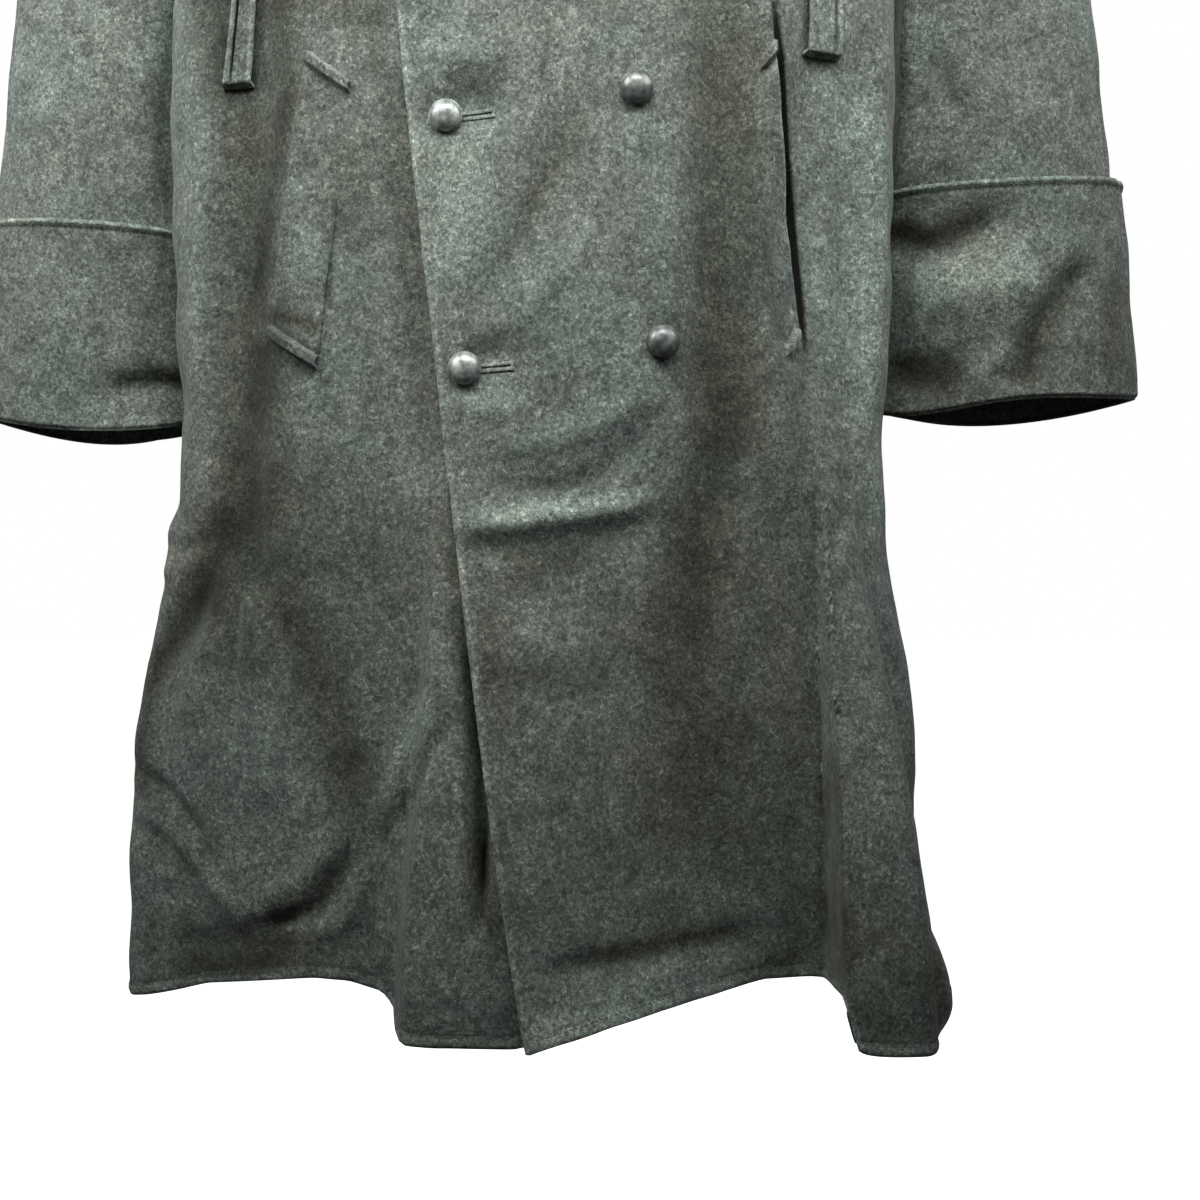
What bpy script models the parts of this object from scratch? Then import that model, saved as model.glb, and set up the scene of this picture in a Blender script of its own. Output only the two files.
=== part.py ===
"""A long double-breasted wool overcoat, hanging filled out with nobody in it.

Every cloth piece is a thin closed wall. One curved body surface is worked out from the sections and folds
in the tables below. The fronts, back, lapels, pocket welts and belt loops are stretches of that surface,
moved in or out along its normals, and the sleeves are lofted from its armholes down to the cuffs.

Lengths are in metres. +X is the wearer's left, -Y the front, +Z up. Heights are above the level of the hem.
Bearings are degrees round the body from the front centre, growing towards the wearer's left.
"""

import math
from collections import namedtuple

import bmesh
import bpy
import numpy as np

# Driving dimensions
HOLD_HEIGHT = 1.050  # the shoulders carry the coat at this height, which is the origin
CLOTH = 0.0025  # milled wool
CUFF_CLOTH = 0.0030  # turned-back cuff, cloth with its edge folded in
SEAM_GAP = 0.0003
UNDERARM_GAP, ELBOW_GAP = SEAM_GAP / 2 / 0.8, 3 * SEAM_GAP / 0.6  # as shares of a length
SIDE_SEAM = SEAM_GAP / 2 / 0.4  # half a seam's gap, as a share of a front's width
UNDERARM = 0.800
SHOULDER_X, SHOULDER_HEIGHT = 0.225, 1.025
NECK_X, NECK_HEIGHT = 0.085, 1.075
NECK_BACK = 0.055  # how far the back neck lies behind the shoulder seams
BODY_ROUNDNESS = 0.70  # 1 is an ellipse, less is a flatter front and back
ARMHOLE_SCOOP = 0.035

# The wearer's left front closes over the right one, along an edge that swings in towards the hem.
EDGE_AT_HEM = -0.0044
EDGE_LEAN = 0.128
EDGE_BOW = 0.045
EDGE_BOW_TOP = 0.65
UNDERLAP = 0.095  # the hidden edge of the right front
LAYER = 0.0042  # the left front's outer face stands this far off the right front's
LAYER_CLEAR_X, LAYER_FADE = 0.105, 0.075
LAYER_TOP, LAYER_TOP_FADE = 0.55, 0.20  # as shares of the way from underarm to shoulder
SKIRT_STANDOFF, STANDOFF_TOP, STANDOFF_REACH = 0.010, 0.34, 0.10

LAPEL_WIDTH, LAPEL_TOP, LAPEL_FULL = 0.105, 0.76, 0.70
LAPEL_LIFT = 0.0012
LEAF_CLEAR = 0.0095
COLLAR_START = 0.81  # share of the way up the roll line
STAND_BACK, STAND_FRONT = 0.044, 0.010  # height of the collar's stand
LEAF_START, LEAF_BACK, LEAF_FRONT = 0.007, 0.074, 0.062  # the leaf's start, and its length over the body

CUFF_HEIGHT, CUFF_DROP = 0.144, 0.004  # how far the cuff reaches above and below the sleeve's end
CUFF_STEP, CUFF_FLARE = 0.0008, 0.0042  # gap to the sleeve at the bottom, and what the top adds
SLEEVE_SEAM_OUTER, SLEEVE_SEAM_INNER = 23, 191  # degrees round the sleeve from its outer edge

WELT_THICKNESS, WELT_GAP, WELT_BAR = 0.0028, 0.0022, 0.0014
LOOP_WIDTH, LOOP_LENGTH, LOOP_STAND, LOOP_TURN = 0.021, 0.100, 0.0080, 0.010
BUTTON_RADIUS, BUTTON_DOME, BUTTON_RIM = 0.0108, 0.0068, 0.0016
SHANK_RADIUS, SHANK_LENGTH, SHANK_GAP = 0.0030, 0.0018, 0.0006

# The coat's girth, section by section
Section = namedtuple("Section", "height centre half_width front back")
SECTIONS = (
    Section(-0.05, -0.0045, 0.264, 0.086, 0.126),
    Section(0.00, -0.0045, 0.262, 0.088, 0.124),
    Section(0.15, -0.0045, 0.256, 0.095, 0.117),
    Section(0.30, -0.0060, 0.2452, 0.102, 0.109),
    Section(0.45, -0.0045, 0.246, 0.106, 0.102),
    Section(0.66, -0.0035, 0.249, 0.106, 0.098),
    Section(UNDERARM, 0.0, 0.241, 0.104, 0.098),
)

# Folds of the body. before and after are the widths of the flanks either side of the crest, in degrees.
# A fold starts at top, has its full depth at full, and dies out at foot, which is far below the hem
# where the fold runs out over it.
# lift is how far the fold pulls the hem up.
Fold = namedtuple("Fold", "name bearing crest before after depth lift top full foot")
FOLDS = (
    Fold("overlap ridge", -8, 7.5, 4.5, 34, 0.050, 0.000, 0.42, 0.00, -1),
    Fold("front valley", 39, 4, 30, 6, -0.004, 0.000, 0.36, 0.00, -1),
    Fold("left side ridge", 52.6, 4, 3.9, 23, 0.064, 0.000, 0.42, 0.00, -1),
    Fold("left side flare", 92, 8, 16, 24, 0.010, 0.000, 0.325, 0.22, 0.02),
    Fold("left corner kick", 88, 6, 18, 20, 0.022, 0.000, 0.042, 0.00, -1),
    Fold("right valley", -42, 19, 15, 7, -0.006, 0.000, 0.40, 0.00, -1),
    Fold("right side kick", -94, 8, 22, 16, 0.0065, 0.000, 0.350, 0.318, -1),
    Fold("right side flare", -94, 8, 22, 16, 0.0135, 0.000, 0.325, 0.12, -1),
    Fold("left pocket drop", 55, 8, 11, 14, -0.023, 0.000, 0.76, 0.53, 0.30),
    Fold("right pocket drop", -51, 2, 9, 9, -0.012, 0.000, 0.76, 0.50, 0.26),
    Fold("back left fold", 124, 5, 16, 20, 0.030, -0.004, 0.46, 0.00, -1),
    Fold("back middle fold", 186, 6, 22, 20, 0.034, -0.004, 0.55, 0.00, -1),
    Fold("back right fold", -118, 6, 20, 18, 0.030, -0.004, 0.48, 0.00, -1),
    Fold("back left hollow", 152, 8, 14, 16, -0.010, 0.008, 0.50, 0.05, -1),
    Fold("back right hollow", -148, 8, 16, 14, -0.010, 0.008, 0.50, 0.05, -1),
)
FOLD_START_WIDTH = 0.45  # a fold's width where it starts, as a share of its width where it is full

# The hem's height round the front, by bearing. The back's hem is level but for its folds.
HemPoint = namedtuple("HemPoint", "bearing height")
HEM = (
    HemPoint(-108, 0.000), HemPoint(-87, 0.003), HemPoint(-78, 0.0055), HemPoint(-66, 0.012),
    HemPoint(-57, 0.018), HemPoint(-45, 0.022), HemPoint(-33, 0.026), HemPoint(-27, 0.025),
    HemPoint(-21.5, 0.0185), HemPoint(-18, 0.0005), HemPoint(-12, -0.001), HemPoint(-1, -0.0035),
    HemPoint(3, 0.002), HemPoint(9, 0.008), HemPoint(18, 0.0133), HemPoint(27, 0.0184),
    HemPoint(36, 0.0259), HemPoint(42, 0.026), HemPoint(45, 0.027), HemPoint(46.9, 0.034),
    HemPoint(48.7, -0.0115),
    HemPoint(57, -0.0137), HemPoint(66, -0.0142), HemPoint(74, -0.021), HemPoint(80, -0.012),
    HemPoint(90, -0.007), HemPoint(108, 0.000),
)

# One row for each sleeve: where the cuff's ring lies and how wide it is
Sleeve = namedtuple(
    "Sleeve", "side sign cuff_x cuff_y cuff_height half_width half_depth back_drop side_lift lean")
SLEEVES = (
    Sleeve("left", 1, 0.3400, 0.072, 0.4270, 0.095, 0.050, 0.015, 0.005, 0.085),
    Sleeve("right", -1, 0.3350, 0.072, 0.3980, 0.088, 0.050, 0.001, 0.013, 0.130),
)
CUFF_TILT = 0.055

# Pocket welts by their corners: x and height of each end of the lower and upper edge
Welt = namedtuple("Welt", "side x0 bottom0 x1 bottom1 x2 top2 x3 top3")
WELTS = (
    Welt("right", -0.1721, 0.4414, -0.1389, 0.4261, -0.1427, 0.6178, -0.1165, 0.6012),
    Welt("left", 0.1560, 0.4270, 0.1810, 0.4400, 0.1400, 0.6200, 0.1610, 0.6330),
)

Loop = namedtuple("Loop", "side x bottom")
LOOPS = (Loop("right", -0.1910, 0.6070), Loop("left", 0.1875, 0.6280))

# Button rows from the bottom: place of the buttonhole column's button and of the outer column's
ButtonRow = namedtuple("ButtonRow", "name inner_x inner_height outer_x outer_height")
BUTTON_ROWS = (
    ButtonRow("low", -0.0444, 0.4208, 0.0810, 0.4384),
    ButtonRow("mid", -0.0564, 0.5808, 0.0646, 0.5990),
    ButtonRow("high", -0.0684, 0.7410, 0.0482, 0.7590),
)

# Mesh fineness
FRONT_COLUMNS, BACK_COLUMNS, LOWER_ROWS = 31, 16, 14
RIDGE_COLUMNS = 0.521, 0.543  # more columns, where the hem drops at the left side ridge
HEM_ROW = 0.035  # one more row close above the hem, where its corners kick out
UPPER_SHARES = (0.03, 0.10, 0.20, 0.32, 0.44, 0.56, 0.68, 0.80, 0.91, 1.0)  # rows from underarm to shoulder
SLEEVE_ROWS, CUFF_ROWS = 12, 3
COLLAR_COLUMNS, LAPEL_COLUMNS, LAPEL_ROWS = 25, 4, 8
BUTTON_STEPS = 14
STEP = 1e-4  # for slopes


# Curves and tables

def ramp(share):
    """Goes smoothly from 0 to 1 as share does, and stays there."""
    share = np.clip(share, 0, 1)
    return share * share * (3 - 2 * share)


def between(low, high, share):
    return low + (high - low) * share


def section(column, height):
    """A column of SECTIONS at any height, on a smooth curve through its rows."""
    heights = np.array([row.height for row in SECTIONS])
    values = np.array([getattr(row, column) for row in SECTIONS])
    slopes = np.gradient(values, heights)
    height = np.clip(height, heights[0], heights[-1])
    row = np.clip(np.searchsorted(heights, height) - 1, 0, len(heights) - 2)
    span = heights[row + 1] - heights[row]
    t = (height - heights[row]) / span
    rise = values[row + 1] - values[row]
    bend = t * (1 - t) * ((1 - t) * (slopes[row] * span - rise) - t * (slopes[row + 1] * span - rise))
    return values[row] + rise * t + bend


def fold_growth(fold, height):
    rising = ramp((fold.top - height) / (fold.top - fold.full))
    dying = ramp((height - fold.foot) / (fold.full - fold.foot))
    return np.where(height > fold.full, rising, dying)


def fold_shape(fold, bearing, growth):
    away = (bearing - fold.bearing + 180) % 360 - 180
    width = between(FOLD_START_WIDTH, 1, growth)
    flank = np.where(away < 0, fold.before, fold.after) * width
    return 1 - ramp((np.abs(away) - fold.crest * width) / flank)


def fold_depth(bearing, height):
    total = 0.0
    for fold in FOLDS:
        growth = fold_growth(fold, height)
        total = total + fold.depth * growth * fold_shape(fold, bearing, growth)
    return total


def hem_height(bearing):
    around = (bearing + 180) % 360 - 180
    front = np.interp(around, [point.bearing for point in HEM], [point.height for point in HEM])
    return front + sum(fold.lift * fold_shape(fold, bearing, 1.0) for fold in FOLDS)


def points(x, y, height):
    return np.stack(np.broadcast_arrays(x, y, height - HOLD_HEIGHT), axis=-1).astype(float)


# The body surface

def lower_body(bearing, height):
    """From the hem to the underarm: a ring with its folds."""
    half_width = section("half_width", height)
    angle = np.radians(bearing)
    across, ahead = np.sin(angle), np.cos(angle)
    depth = np.where(ahead > 0, section("front", height), section("back", height))
    x = section("centre", height) + half_width * across
    y = -np.sign(ahead) * depth * np.abs(ahead) ** BODY_ROUNDNESS
    out_x = across / half_width
    out_y = -np.sign(ahead) * np.abs(ahead) ** (2 - BODY_ROUNDNESS) / (BODY_ROUNDNESS * depth)
    size = np.hypot(out_x, out_y)
    fold = fold_depth(bearing, height)
    return points(x + out_x / size * fold, y + out_y / size * fold, height)


def shoulder_line(x):
    """Height of the shoulder seam, carried smoothly across the neck."""
    slope = (NECK_HEIGHT - SHOULDER_HEIGHT) / (SHOULDER_X - NECK_X)
    x = np.abs(x)
    over_neck = (NECK_X**2 - x**2) / (2 * NECK_X)
    return NECK_HEIGHT + slope * np.where(x < NECK_X, over_neck, NECK_X - x)


def body_depth(x, column):
    """How far the body reaches in front or behind at the underarm, by x."""
    share = np.clip(1 - (x / section("half_width", UNDERARM)) ** 2, 0, 1)
    return section(column, UNDERARM) * share ** (BODY_ROUNDNESS / 2)


def upper_body(x, turn, column):
    """From the underarm, at turn 0, over to the shoulder seam, at a quarter turn."""
    side = -1 if column == "front" else 1
    height = UNDERARM + (shoulder_line(x) - UNDERARM) * np.sin(turn)
    return points(x, side * body_depth(x, column) * np.cos(turn), height)


def armhole_x(turn):
    share = turn / (math.pi / 2)
    return between(section("half_width", UNDERARM), SHOULDER_X, share) - ARMHOLE_SCOOP * np.sin(2 * turn)


def front_edge(height):
    """x of the left front's edge."""
    return EDGE_AT_HEM - EDGE_LEAN * height - EDGE_BOW * height * (EDGE_BOW_TOP - height)


def roll_line(turn):
    """x of the left front's edge above the underarm, where the lapel folds back."""
    return between(front_edge(UNDERARM), NECK_X, np.sin(turn))


def bearing_of(x, height):
    share = (x - section("centre", height)) / section("half_width", height)
    return np.degrees(np.arcsin(np.clip(share, -1, 1)))


def seam_turn(x, column):
    """The quarter turn, stopped half a seam's gap short of the shoulder seam."""
    return np.arccos(np.clip(SEAM_GAP / body_depth(x, column), 0, 1))


def body_rows():
    return np.concatenate([[0, HEM_ROW], np.linspace(0, 1, LOWER_ROWS)[1:], 1 + np.array(UPPER_SHARES)])


def front_surface(edge_of, roll_of):
    """A front as a surface of column, 0 at its edge and 1 at its side, and row, 0 at the hem and 2 at the
    shoulder. Both fronts are worked out on the wearer's left, and the right one is then turned over."""

    def surface(column, row, sign):
        lower = np.clip(row, None, 1)
        height = UNDERARM * lower
        edge = sign * bearing_of(sign * edge_of(height), height)
        bearing = sign * between(edge, 90, column)
        hem = hem_height(bearing)
        height = hem + (UNDERARM - hem) * lower
        ring = lower_body(bearing, height)
        turn = np.clip(row - 1, 0, None) * seam_turn(between(NECK_X, SHOULDER_X, column), "front")
        start = edge_of(UNDERARM) / section("half_width", UNDERARM)
        share = (np.sin(np.radians(between(np.degrees(np.arcsin(start)), 90, column))) - start) / (1 - start)
        x = between(roll_of(turn), armhole_x(turn), share)
        cap = upper_body(sign * x, turn, "front")
        return np.where((row > 1)[..., None], cap, ring)

    return surface


def left_front_surface(column, row):
    return front_surface(front_edge, roll_line)(column, row, 1)


def right_front_surface(column, row):
    """Column 0 is its side and 1 its hidden edge, so that columns run the same way round the body."""
    def hidden_edge(height):
        return -UNDERLAP + 0 * height

    def hidden_roll(turn):
        return between(-UNDERLAP, NECK_X, np.sin(turn))

    return front_surface(hidden_edge, hidden_roll)(1 - column, row, -1)


def back_surface(column, row):
    bearing = between(90, 270, column)
    lower = np.clip(row, None, 1)
    hem = hem_height(bearing)
    ring = lower_body(bearing, hem + (UNDERARM - hem) * lower)
    across = np.sin(np.radians(bearing))
    top_x = SHOULDER_X * across
    neck = NECK_BACK * np.sqrt(np.clip(1 - (top_x / NECK_X) ** 2, 0, 1))
    last = np.arccos(np.clip(np.maximum(neck, SEAM_GAP) / body_depth(top_x, "back"), 0, 1))
    turn = np.clip(row - 1, 0, None) * last
    cap = upper_body(armhole_x(turn) * across, turn, "back")
    return np.where((row > 1)[..., None], cap, ring)


def layer(x, height, share_up):
    """How far the left front's outer face stands off the body surface."""
    overlap = 1 - ramp((x - LAYER_CLEAR_X) / LAYER_FADE)
    fading = 1 - ramp((share_up - LAYER_TOP) / LAYER_TOP_FADE)
    from_edge = ramp((x - front_edge(height)) / STANDOFF_REACH)
    standoff = SKIRT_STANDOFF * ramp((STANDOFF_TOP - height) / STANDOFF_TOP) * (1 - from_edge)
    return LAYER * overlap * fading + standoff


def left_front_layer(place, row):
    share_up = np.sin(np.clip(row - 1, 0, 1) * math.pi / 2)
    return layer(place[..., 0], np.minimum(place[..., 2] + HOLD_HEIGHT, UNDERARM), share_up)


# Walls

def normals(surface, column, row):
    """Outward normals, from the slopes of the surface."""
    along = surface(column + STEP, row) - surface(column - STEP, row)
    up = surface(column, row + STEP) - surface(column, row - STEP)
    out = np.cross(along, up)
    return out / np.linalg.norm(out, axis=-1, keepdims=True)


def grid_normals(place):
    out = np.cross(np.gradient(place, axis=1), np.gradient(place, axis=0))
    return out / np.linalg.norm(out, axis=-1, keepdims=True)


def wall_faces(outer, count):
    """Triangles of a closed wall: outer face, inner face and the rim between. Both faces share diagonals."""
    rows, columns = outer.shape[:2]
    index = np.arange(rows * columns).reshape(rows, columns)
    faces = []
    for i in range(rows - 1):
        for j in range(columns - 1):
            a, b, c, d = index[i, j], index[i, j + 1], index[i + 1, j + 1], index[i + 1, j]
            one = np.linalg.norm(outer[i, j] - outer[i + 1, j + 1])
            two = np.linalg.norm(outer[i, j + 1] - outer[i + 1, j])
            pair = [(a, b, c), (a, c, d)] if one <= two else [(a, b, d), (b, c, d)]
            for face in pair:
                faces.append(face)
                faces.append(tuple(corner + count for corner in reversed(face)))
    border = [*index[0, ::-1], *index[1:, 0], *index[-1, 1:], *index[-2:0:-1, -1]]
    for here, there in zip(border, border[1:] + border[:1]):
        faces.append((here, there, there + count))
        faces.append((here, there + count, here + count))
    return faces


def make_object(name, mesh, material):
    mesh.materials.append(material)
    thing = bpy.data.objects.new(name, mesh)
    bpy.context.scene.collection.objects.link(thing)
    return thing


def make_wall(name, outer, inner, material, mirrored=False):
    count = outer.shape[0] * outer.shape[1]
    place = np.concatenate([outer.reshape(-1, 3), inner.reshape(-1, 3)])
    faces = wall_faces(outer, count)
    if mirrored:
        place = place * np.array([-1, 1, 1])
        faces = [tuple(reversed(face)) for face in faces]
    mesh = bpy.data.meshes.new(name)
    mesh.from_pydata(place.tolist(), [], [[int(corner) for corner in face] for face in faces])
    mesh.shade_smooth()
    return make_object(name, mesh, material)


def panel_faces(surface, columns, rows, out=None, thickness=CLOTH):
    """Outer and inner points of a wall. out gives how far its outer face stands off, by place and row."""
    column, row = np.meshgrid(columns, rows)
    place = surface(column, row)
    normal = normals(surface, column, row)
    offset = np.zeros(column.shape) if out is None else out(place, row)
    outer = place + normal * offset[..., None]
    return outer, outer - normal * thickness


def make_panel(name, surface, columns, rows, material, out=None, thickness=CLOTH, mirrored=False):
    outer, inner = panel_faces(surface, columns, rows, out, thickness)
    return make_wall(name, outer, inner, material, mirrored)


def make_material(name, colour, roughness, metallic=0.0):
    material = bpy.data.materials.new(name)
    material.use_nodes = True
    shader = material.node_tree.nodes["Principled BSDF"]
    shader.inputs["Base Color"].default_value = (*colour, 1)
    shader.inputs["Roughness"].default_value = roughness
    shader.inputs["Metallic"].default_value = metallic
    material.diffuse_color = (*colour, 1)
    return material


# Pieces

def make_body(wool):
    """Fronts and back halves, each in two nodes that meet at the underarm, so that collision can follow the
    armholes."""
    rows = body_rows()
    seam = SIDE_SEAM
    fronts = np.sort(np.append(np.linspace(0, 1, FRONT_COLUMNS), RIDGE_COLUMNS))
    half = between(seam, 1 - seam, np.linspace(0, 1, BACK_COLUMNS)) / 2
    skirt = np.append(rows[rows < 1], 1 - UNDERARM_GAP)
    chest = np.insert(rows[rows > 1], 0, 1 + 2 * UNDERARM_GAP)
    for front, back, level in (("front", "back", skirt), ("chest", "back_yoke", chest)):
        make_panel(f"left_{front}", left_front_surface, fronts * (1 - seam), level, wool, left_front_layer)
        make_panel(f"right_{front}", right_front_surface, between(seam, 1, fronts), level, wool)
        make_panel(f"{back}_left", back_surface, half, level, wool)
        make_panel(f"{back}_right", back_surface, 0.5 + half, level, wool)


def make_lapels(wool):
    """The lapels lie on the fronts, folded back along the roll line. The right one ends where the left front
    covers it."""
    def left(column, row):
        x = roll_line(row) + LAPEL_WIDTH * np.minimum(np.sin(row) / LAPEL_FULL, 1) ** 0.9 * column
        return upper_body(x, row, "front")

    def right(column, row):
        roll = -between(-UNDERLAP, NECK_X, np.sin(row))
        outside = roll - LAPEL_WIDTH * np.minimum(np.sin(row) / LAPEL_FULL, 1) ** 0.9
        inside = np.minimum(roll, roll_line(row) - 0.004)
        return upper_body(between(outside, inside, column), row, "front")

    def on_left(place, row):
        return layer(place[..., 0], UNDERARM, np.sin(row)) + LAPEL_LIFT + CLOTH

    def on_right(place, row):
        return np.full(row.shape, LAPEL_LIFT + CLOTH)

    columns = np.linspace(0, 1, LAPEL_COLUMNS)
    last = math.asin(LAPEL_TOP)
    make_panel("lapel_left", left, columns, np.linspace(0.06, last, LAPEL_ROWS), wool, on_left)
    make_panel("lapel_right", right, columns, np.linspace(0.43, last, LAPEL_ROWS), wool, on_right)


def body_top(x, y):
    """Height of the shoulders at a place seen from above."""
    depth = np.where(y < 0, body_depth(x, "front"), body_depth(x, "back"))
    share = np.clip(np.abs(y) / depth, 0, 1)
    return UNDERARM + (shoulder_line(x) - UNDERARM) * np.sqrt(1 - share**2)


def neckline(share, reach):
    """Plan of a line that runs reach outside the neck seam, from the right front (share -1) round the back
    (0) to the left front (1). Over the fronts it keeps to one level of the roll line."""
    behind = np.clip(np.abs(share), 0, 0.5) * math.pi
    out_x, out_y = np.sin(behind) / NECK_X, np.cos(behind) / NECK_BACK
    size = np.hypot(out_x, out_y)
    turn = between(math.pi / 2, math.asin(COLLAR_START), np.clip(np.abs(share) * 2 - 1, 0, 1))
    front_x = roll_line(turn) + reach
    front_y = -body_depth(front_x, "front") * np.cos(turn)
    is_back = np.abs(share) < 0.5
    x = np.where(is_back, NECK_X * np.sin(behind) + out_x / size * reach, front_x)
    y = np.where(is_back, NECK_BACK * np.cos(behind) + out_y / size * reach, front_y)
    return np.sign(share) * x, y


def reach_over(share, length):
    """How far out in plan a line of this length ends that runs from the neck seam over the body."""
    reaches = np.linspace(0, LEAF_BACK, 75)[:, None]
    x, y = neckline(share, reaches)
    steps = np.linalg.norm(np.diff(points(x, y, body_top(x, y)), axis=0), axis=-1)
    run = np.concatenate([np.zeros((1, len(share))), np.cumsum(steps, axis=0)])
    return np.array([np.interp(end, line, reaches[:, 0]) for end, line in zip(length, run.T)])


def make_collar(wool):
    """Stand and leaf in one folded sheet. The stand rises from the neck seam, and the leaf lies over the
    shoulders."""
    share = np.linspace(-1, 1, COLLAR_COLUMNS)
    stand = between(STAND_BACK, STAND_FRONT, np.abs(share))
    leaf = between(LEAF_BACK, LEAF_FRONT, np.abs(share))
    seam = body_top(*neckline(share, 0.0))
    rows = []
    for out, up in ((0.0, 0.004), (-0.001, 0.5), (0.001, 1.0)):
        rows.append(points(*neckline(share, out), seam + np.maximum(up * stand, 0.004 + 0.003 * up)))
    rows.append(points(*neckline(share, LEAF_START), seam + 1.1 * stand + 0.004))
    for part, rise in ((0.20, 0.55), (0.42, 0.22), (0.70, 0.05), (1.0, 0.0)):
        x, y = neckline(share, reach_over(share, between(LEAF_START, leaf, part)))
        rows.append(points(x, y, body_top(x, y) + LEAF_CLEAR + rise * stand))
    middle = np.stack(rows)
    half = grid_normals(middle) * CLOTH / 2
    make_wall("collar", middle + half, middle - half, wool)


def armhole_rings():
    """Outer and inner edge of the left armhole, round by the front from the shoulder and up the back."""
    rows = np.concatenate([[1.0], 1 + np.array(UPPER_SHARES)])
    front = panel_faces(left_front_surface, np.array([1 - SIDE_SEAM]), rows)
    back = panel_faces(back_surface, np.array([SIDE_SEAM / 2]), rows)
    rings = [np.concatenate([ahead[::-1, 0], behind[1:, 0]]) for ahead, behind in zip(front, back)]
    angles = np.concatenate([(2 - rows[::-1]) * 180, 180 + (rows[1:] - 1) * 180])
    return angles, rings


def ring_at(angles, ring, angle):
    place = [np.interp(angle % 360, angles, ring[:, axis]) for axis in range(3)]
    return np.stack(place, axis=-1) + np.array([2 * SEAM_GAP, 0, 0])


def sleeve_surface(sleeve):
    """A sleeve as a surface of angle round it, in degrees from its outer edge by the front, and share of its
    length. Worked out on the wearer's left and mirrored for the right."""
    angles, rings = armhole_rings()

    def surface(angle, share):
        start = ring_at(angles, rings[0], angle)
        round_it = np.radians(angle)
        across, ahead = np.cos(round_it), np.sin(round_it)
        bend = sleeve.back_drop * (ahead - 1) / 2 + sleeve.side_lift * across**2
        height = sleeve.cuff_height + CUFF_TILT * sleeve.half_width * across + bend
        end_x = sleeve.cuff_x + sleeve.half_width * across
        end = points(end_x, sleeve.cuff_y - sleeve.half_depth * ahead, height)
        leave_x = 0.285 + 0.205 * across + 0.12 * np.abs(ahead)
        leave = np.stack([leave_x, 0.05 - 0.04 * across, -0.21 + 0.06 * across], axis=-1)
        arrive = np.stack([sleeve.lean * (1 + across) / 2, 0.02 + 0 * across, -0.50 - 0.10 * across], axis=-1)
        t = share[..., None]
        return ((1 + 2 * t) * (1 - t) ** 2 * start + t * (1 - t) ** 2 * leave
                + t**2 * (3 - 2 * t) * end + t**2 * (t - 1) * arrive)

    return surface


def below_sleeve_end(surface):
    """The sleeve's surface by angle and by how far a place is below the sleeve's end there."""

    def lower_end(angle, drop):
        share = np.ones(drop.shape)
        target = surface(angle, share)[..., 2] - drop
        for _ in range(5):
            slope = surface(angle, share + STEP)[..., 2] - surface(angle, share - STEP)[..., 2]
            share = share - (surface(angle, share)[..., 2] - target) * 2 * STEP / slope
        return surface(angle, share)

    return lower_end


def cuff_surface(sleeve, sleeve_end):
    """The cuff by angle, and row from its top edge to its lower one, just below the sleeve's end."""
    lower_end = below_sleeve_end(sleeve_end)

    def surface(angle, row):
        top = -CUFF_HEIGHT + sleeve.side_lift * np.cos(np.radians(angle)) ** 2
        return lower_end(angle, between(top, CUFF_DROP, row))

    return surface


def make_sleeves(wool):
    """Each sleeve has a top and an under piece, and a turned-back cuff in two pieces on the same seams.
    Their columns start at the points of the armhole, so that the seam fits. The sleeve pieces are two nodes
    each, which meet at the elbow, so that collision can follow the hollow."""
    around, edges = armhole_rings()

    def columns(first, last):
        slit = 0.2  # half a seam's gap, in degrees round the sleeve
        twice_round = np.concatenate([around, around[1:] + 360])
        inside = [angle for angle in twice_round if first + 3 < angle < last - 3]
        return np.array([first + slit, *sorted(set(inside)), last - slit])

    halves = {
        "top": columns(SLEEVE_SEAM_OUTER, SLEEVE_SEAM_INNER),
        "under": columns(SLEEVE_SEAM_INNER, SLEEVE_SEAM_OUTER + 360),
    }

    def cuff_out(place, row):
        return CUFF_STEP + CUFF_CLOTH + CUFF_FLARE * (1 - row)

    lengths = np.linspace(0, 1, SLEEVE_ROWS)
    elbow = lengths[SLEEVE_ROWS // 2]
    upper = np.append(lengths[lengths < elbow], elbow - ELBOW_GAP)
    lower = np.insert(lengths[lengths > elbow], 0, elbow + ELBOW_GAP)
    for sleeve in SLEEVES:
        surface = sleeve_surface(sleeve)
        mirrored = sleeve.sign < 0
        for half, angles in halves.items():
            name = f"{half}_{sleeve.side}"
            outer, inner = panel_faces(surface, angles, upper)
            inner[0] = ring_at(around, edges[1], angles)
            make_wall(f"sleeve_{name}", outer, inner, wool, mirrored)
            make_panel(f"forearm_{name}", surface, angles, lower, wool, mirrored=mirrored)
            cuff, rows = cuff_surface(sleeve, surface), np.linspace(0, 1, CUFF_ROWS + 1)
            make_panel(f"cuff_{name}", cuff, angles, rows, wool, cuff_out, CUFF_CLOTH, mirrored)


def front_place(x, height):
    return lower_body(bearing_of(x, height), height)


def front_layer(place):
    """How far the front that lies outermost stands off the body surface at these places."""
    x, height = place[..., 0], place[..., 2] + HOLD_HEIGHT
    return np.where(x > front_edge(height), layer(x, height, 0.0), 0.0)


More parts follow.
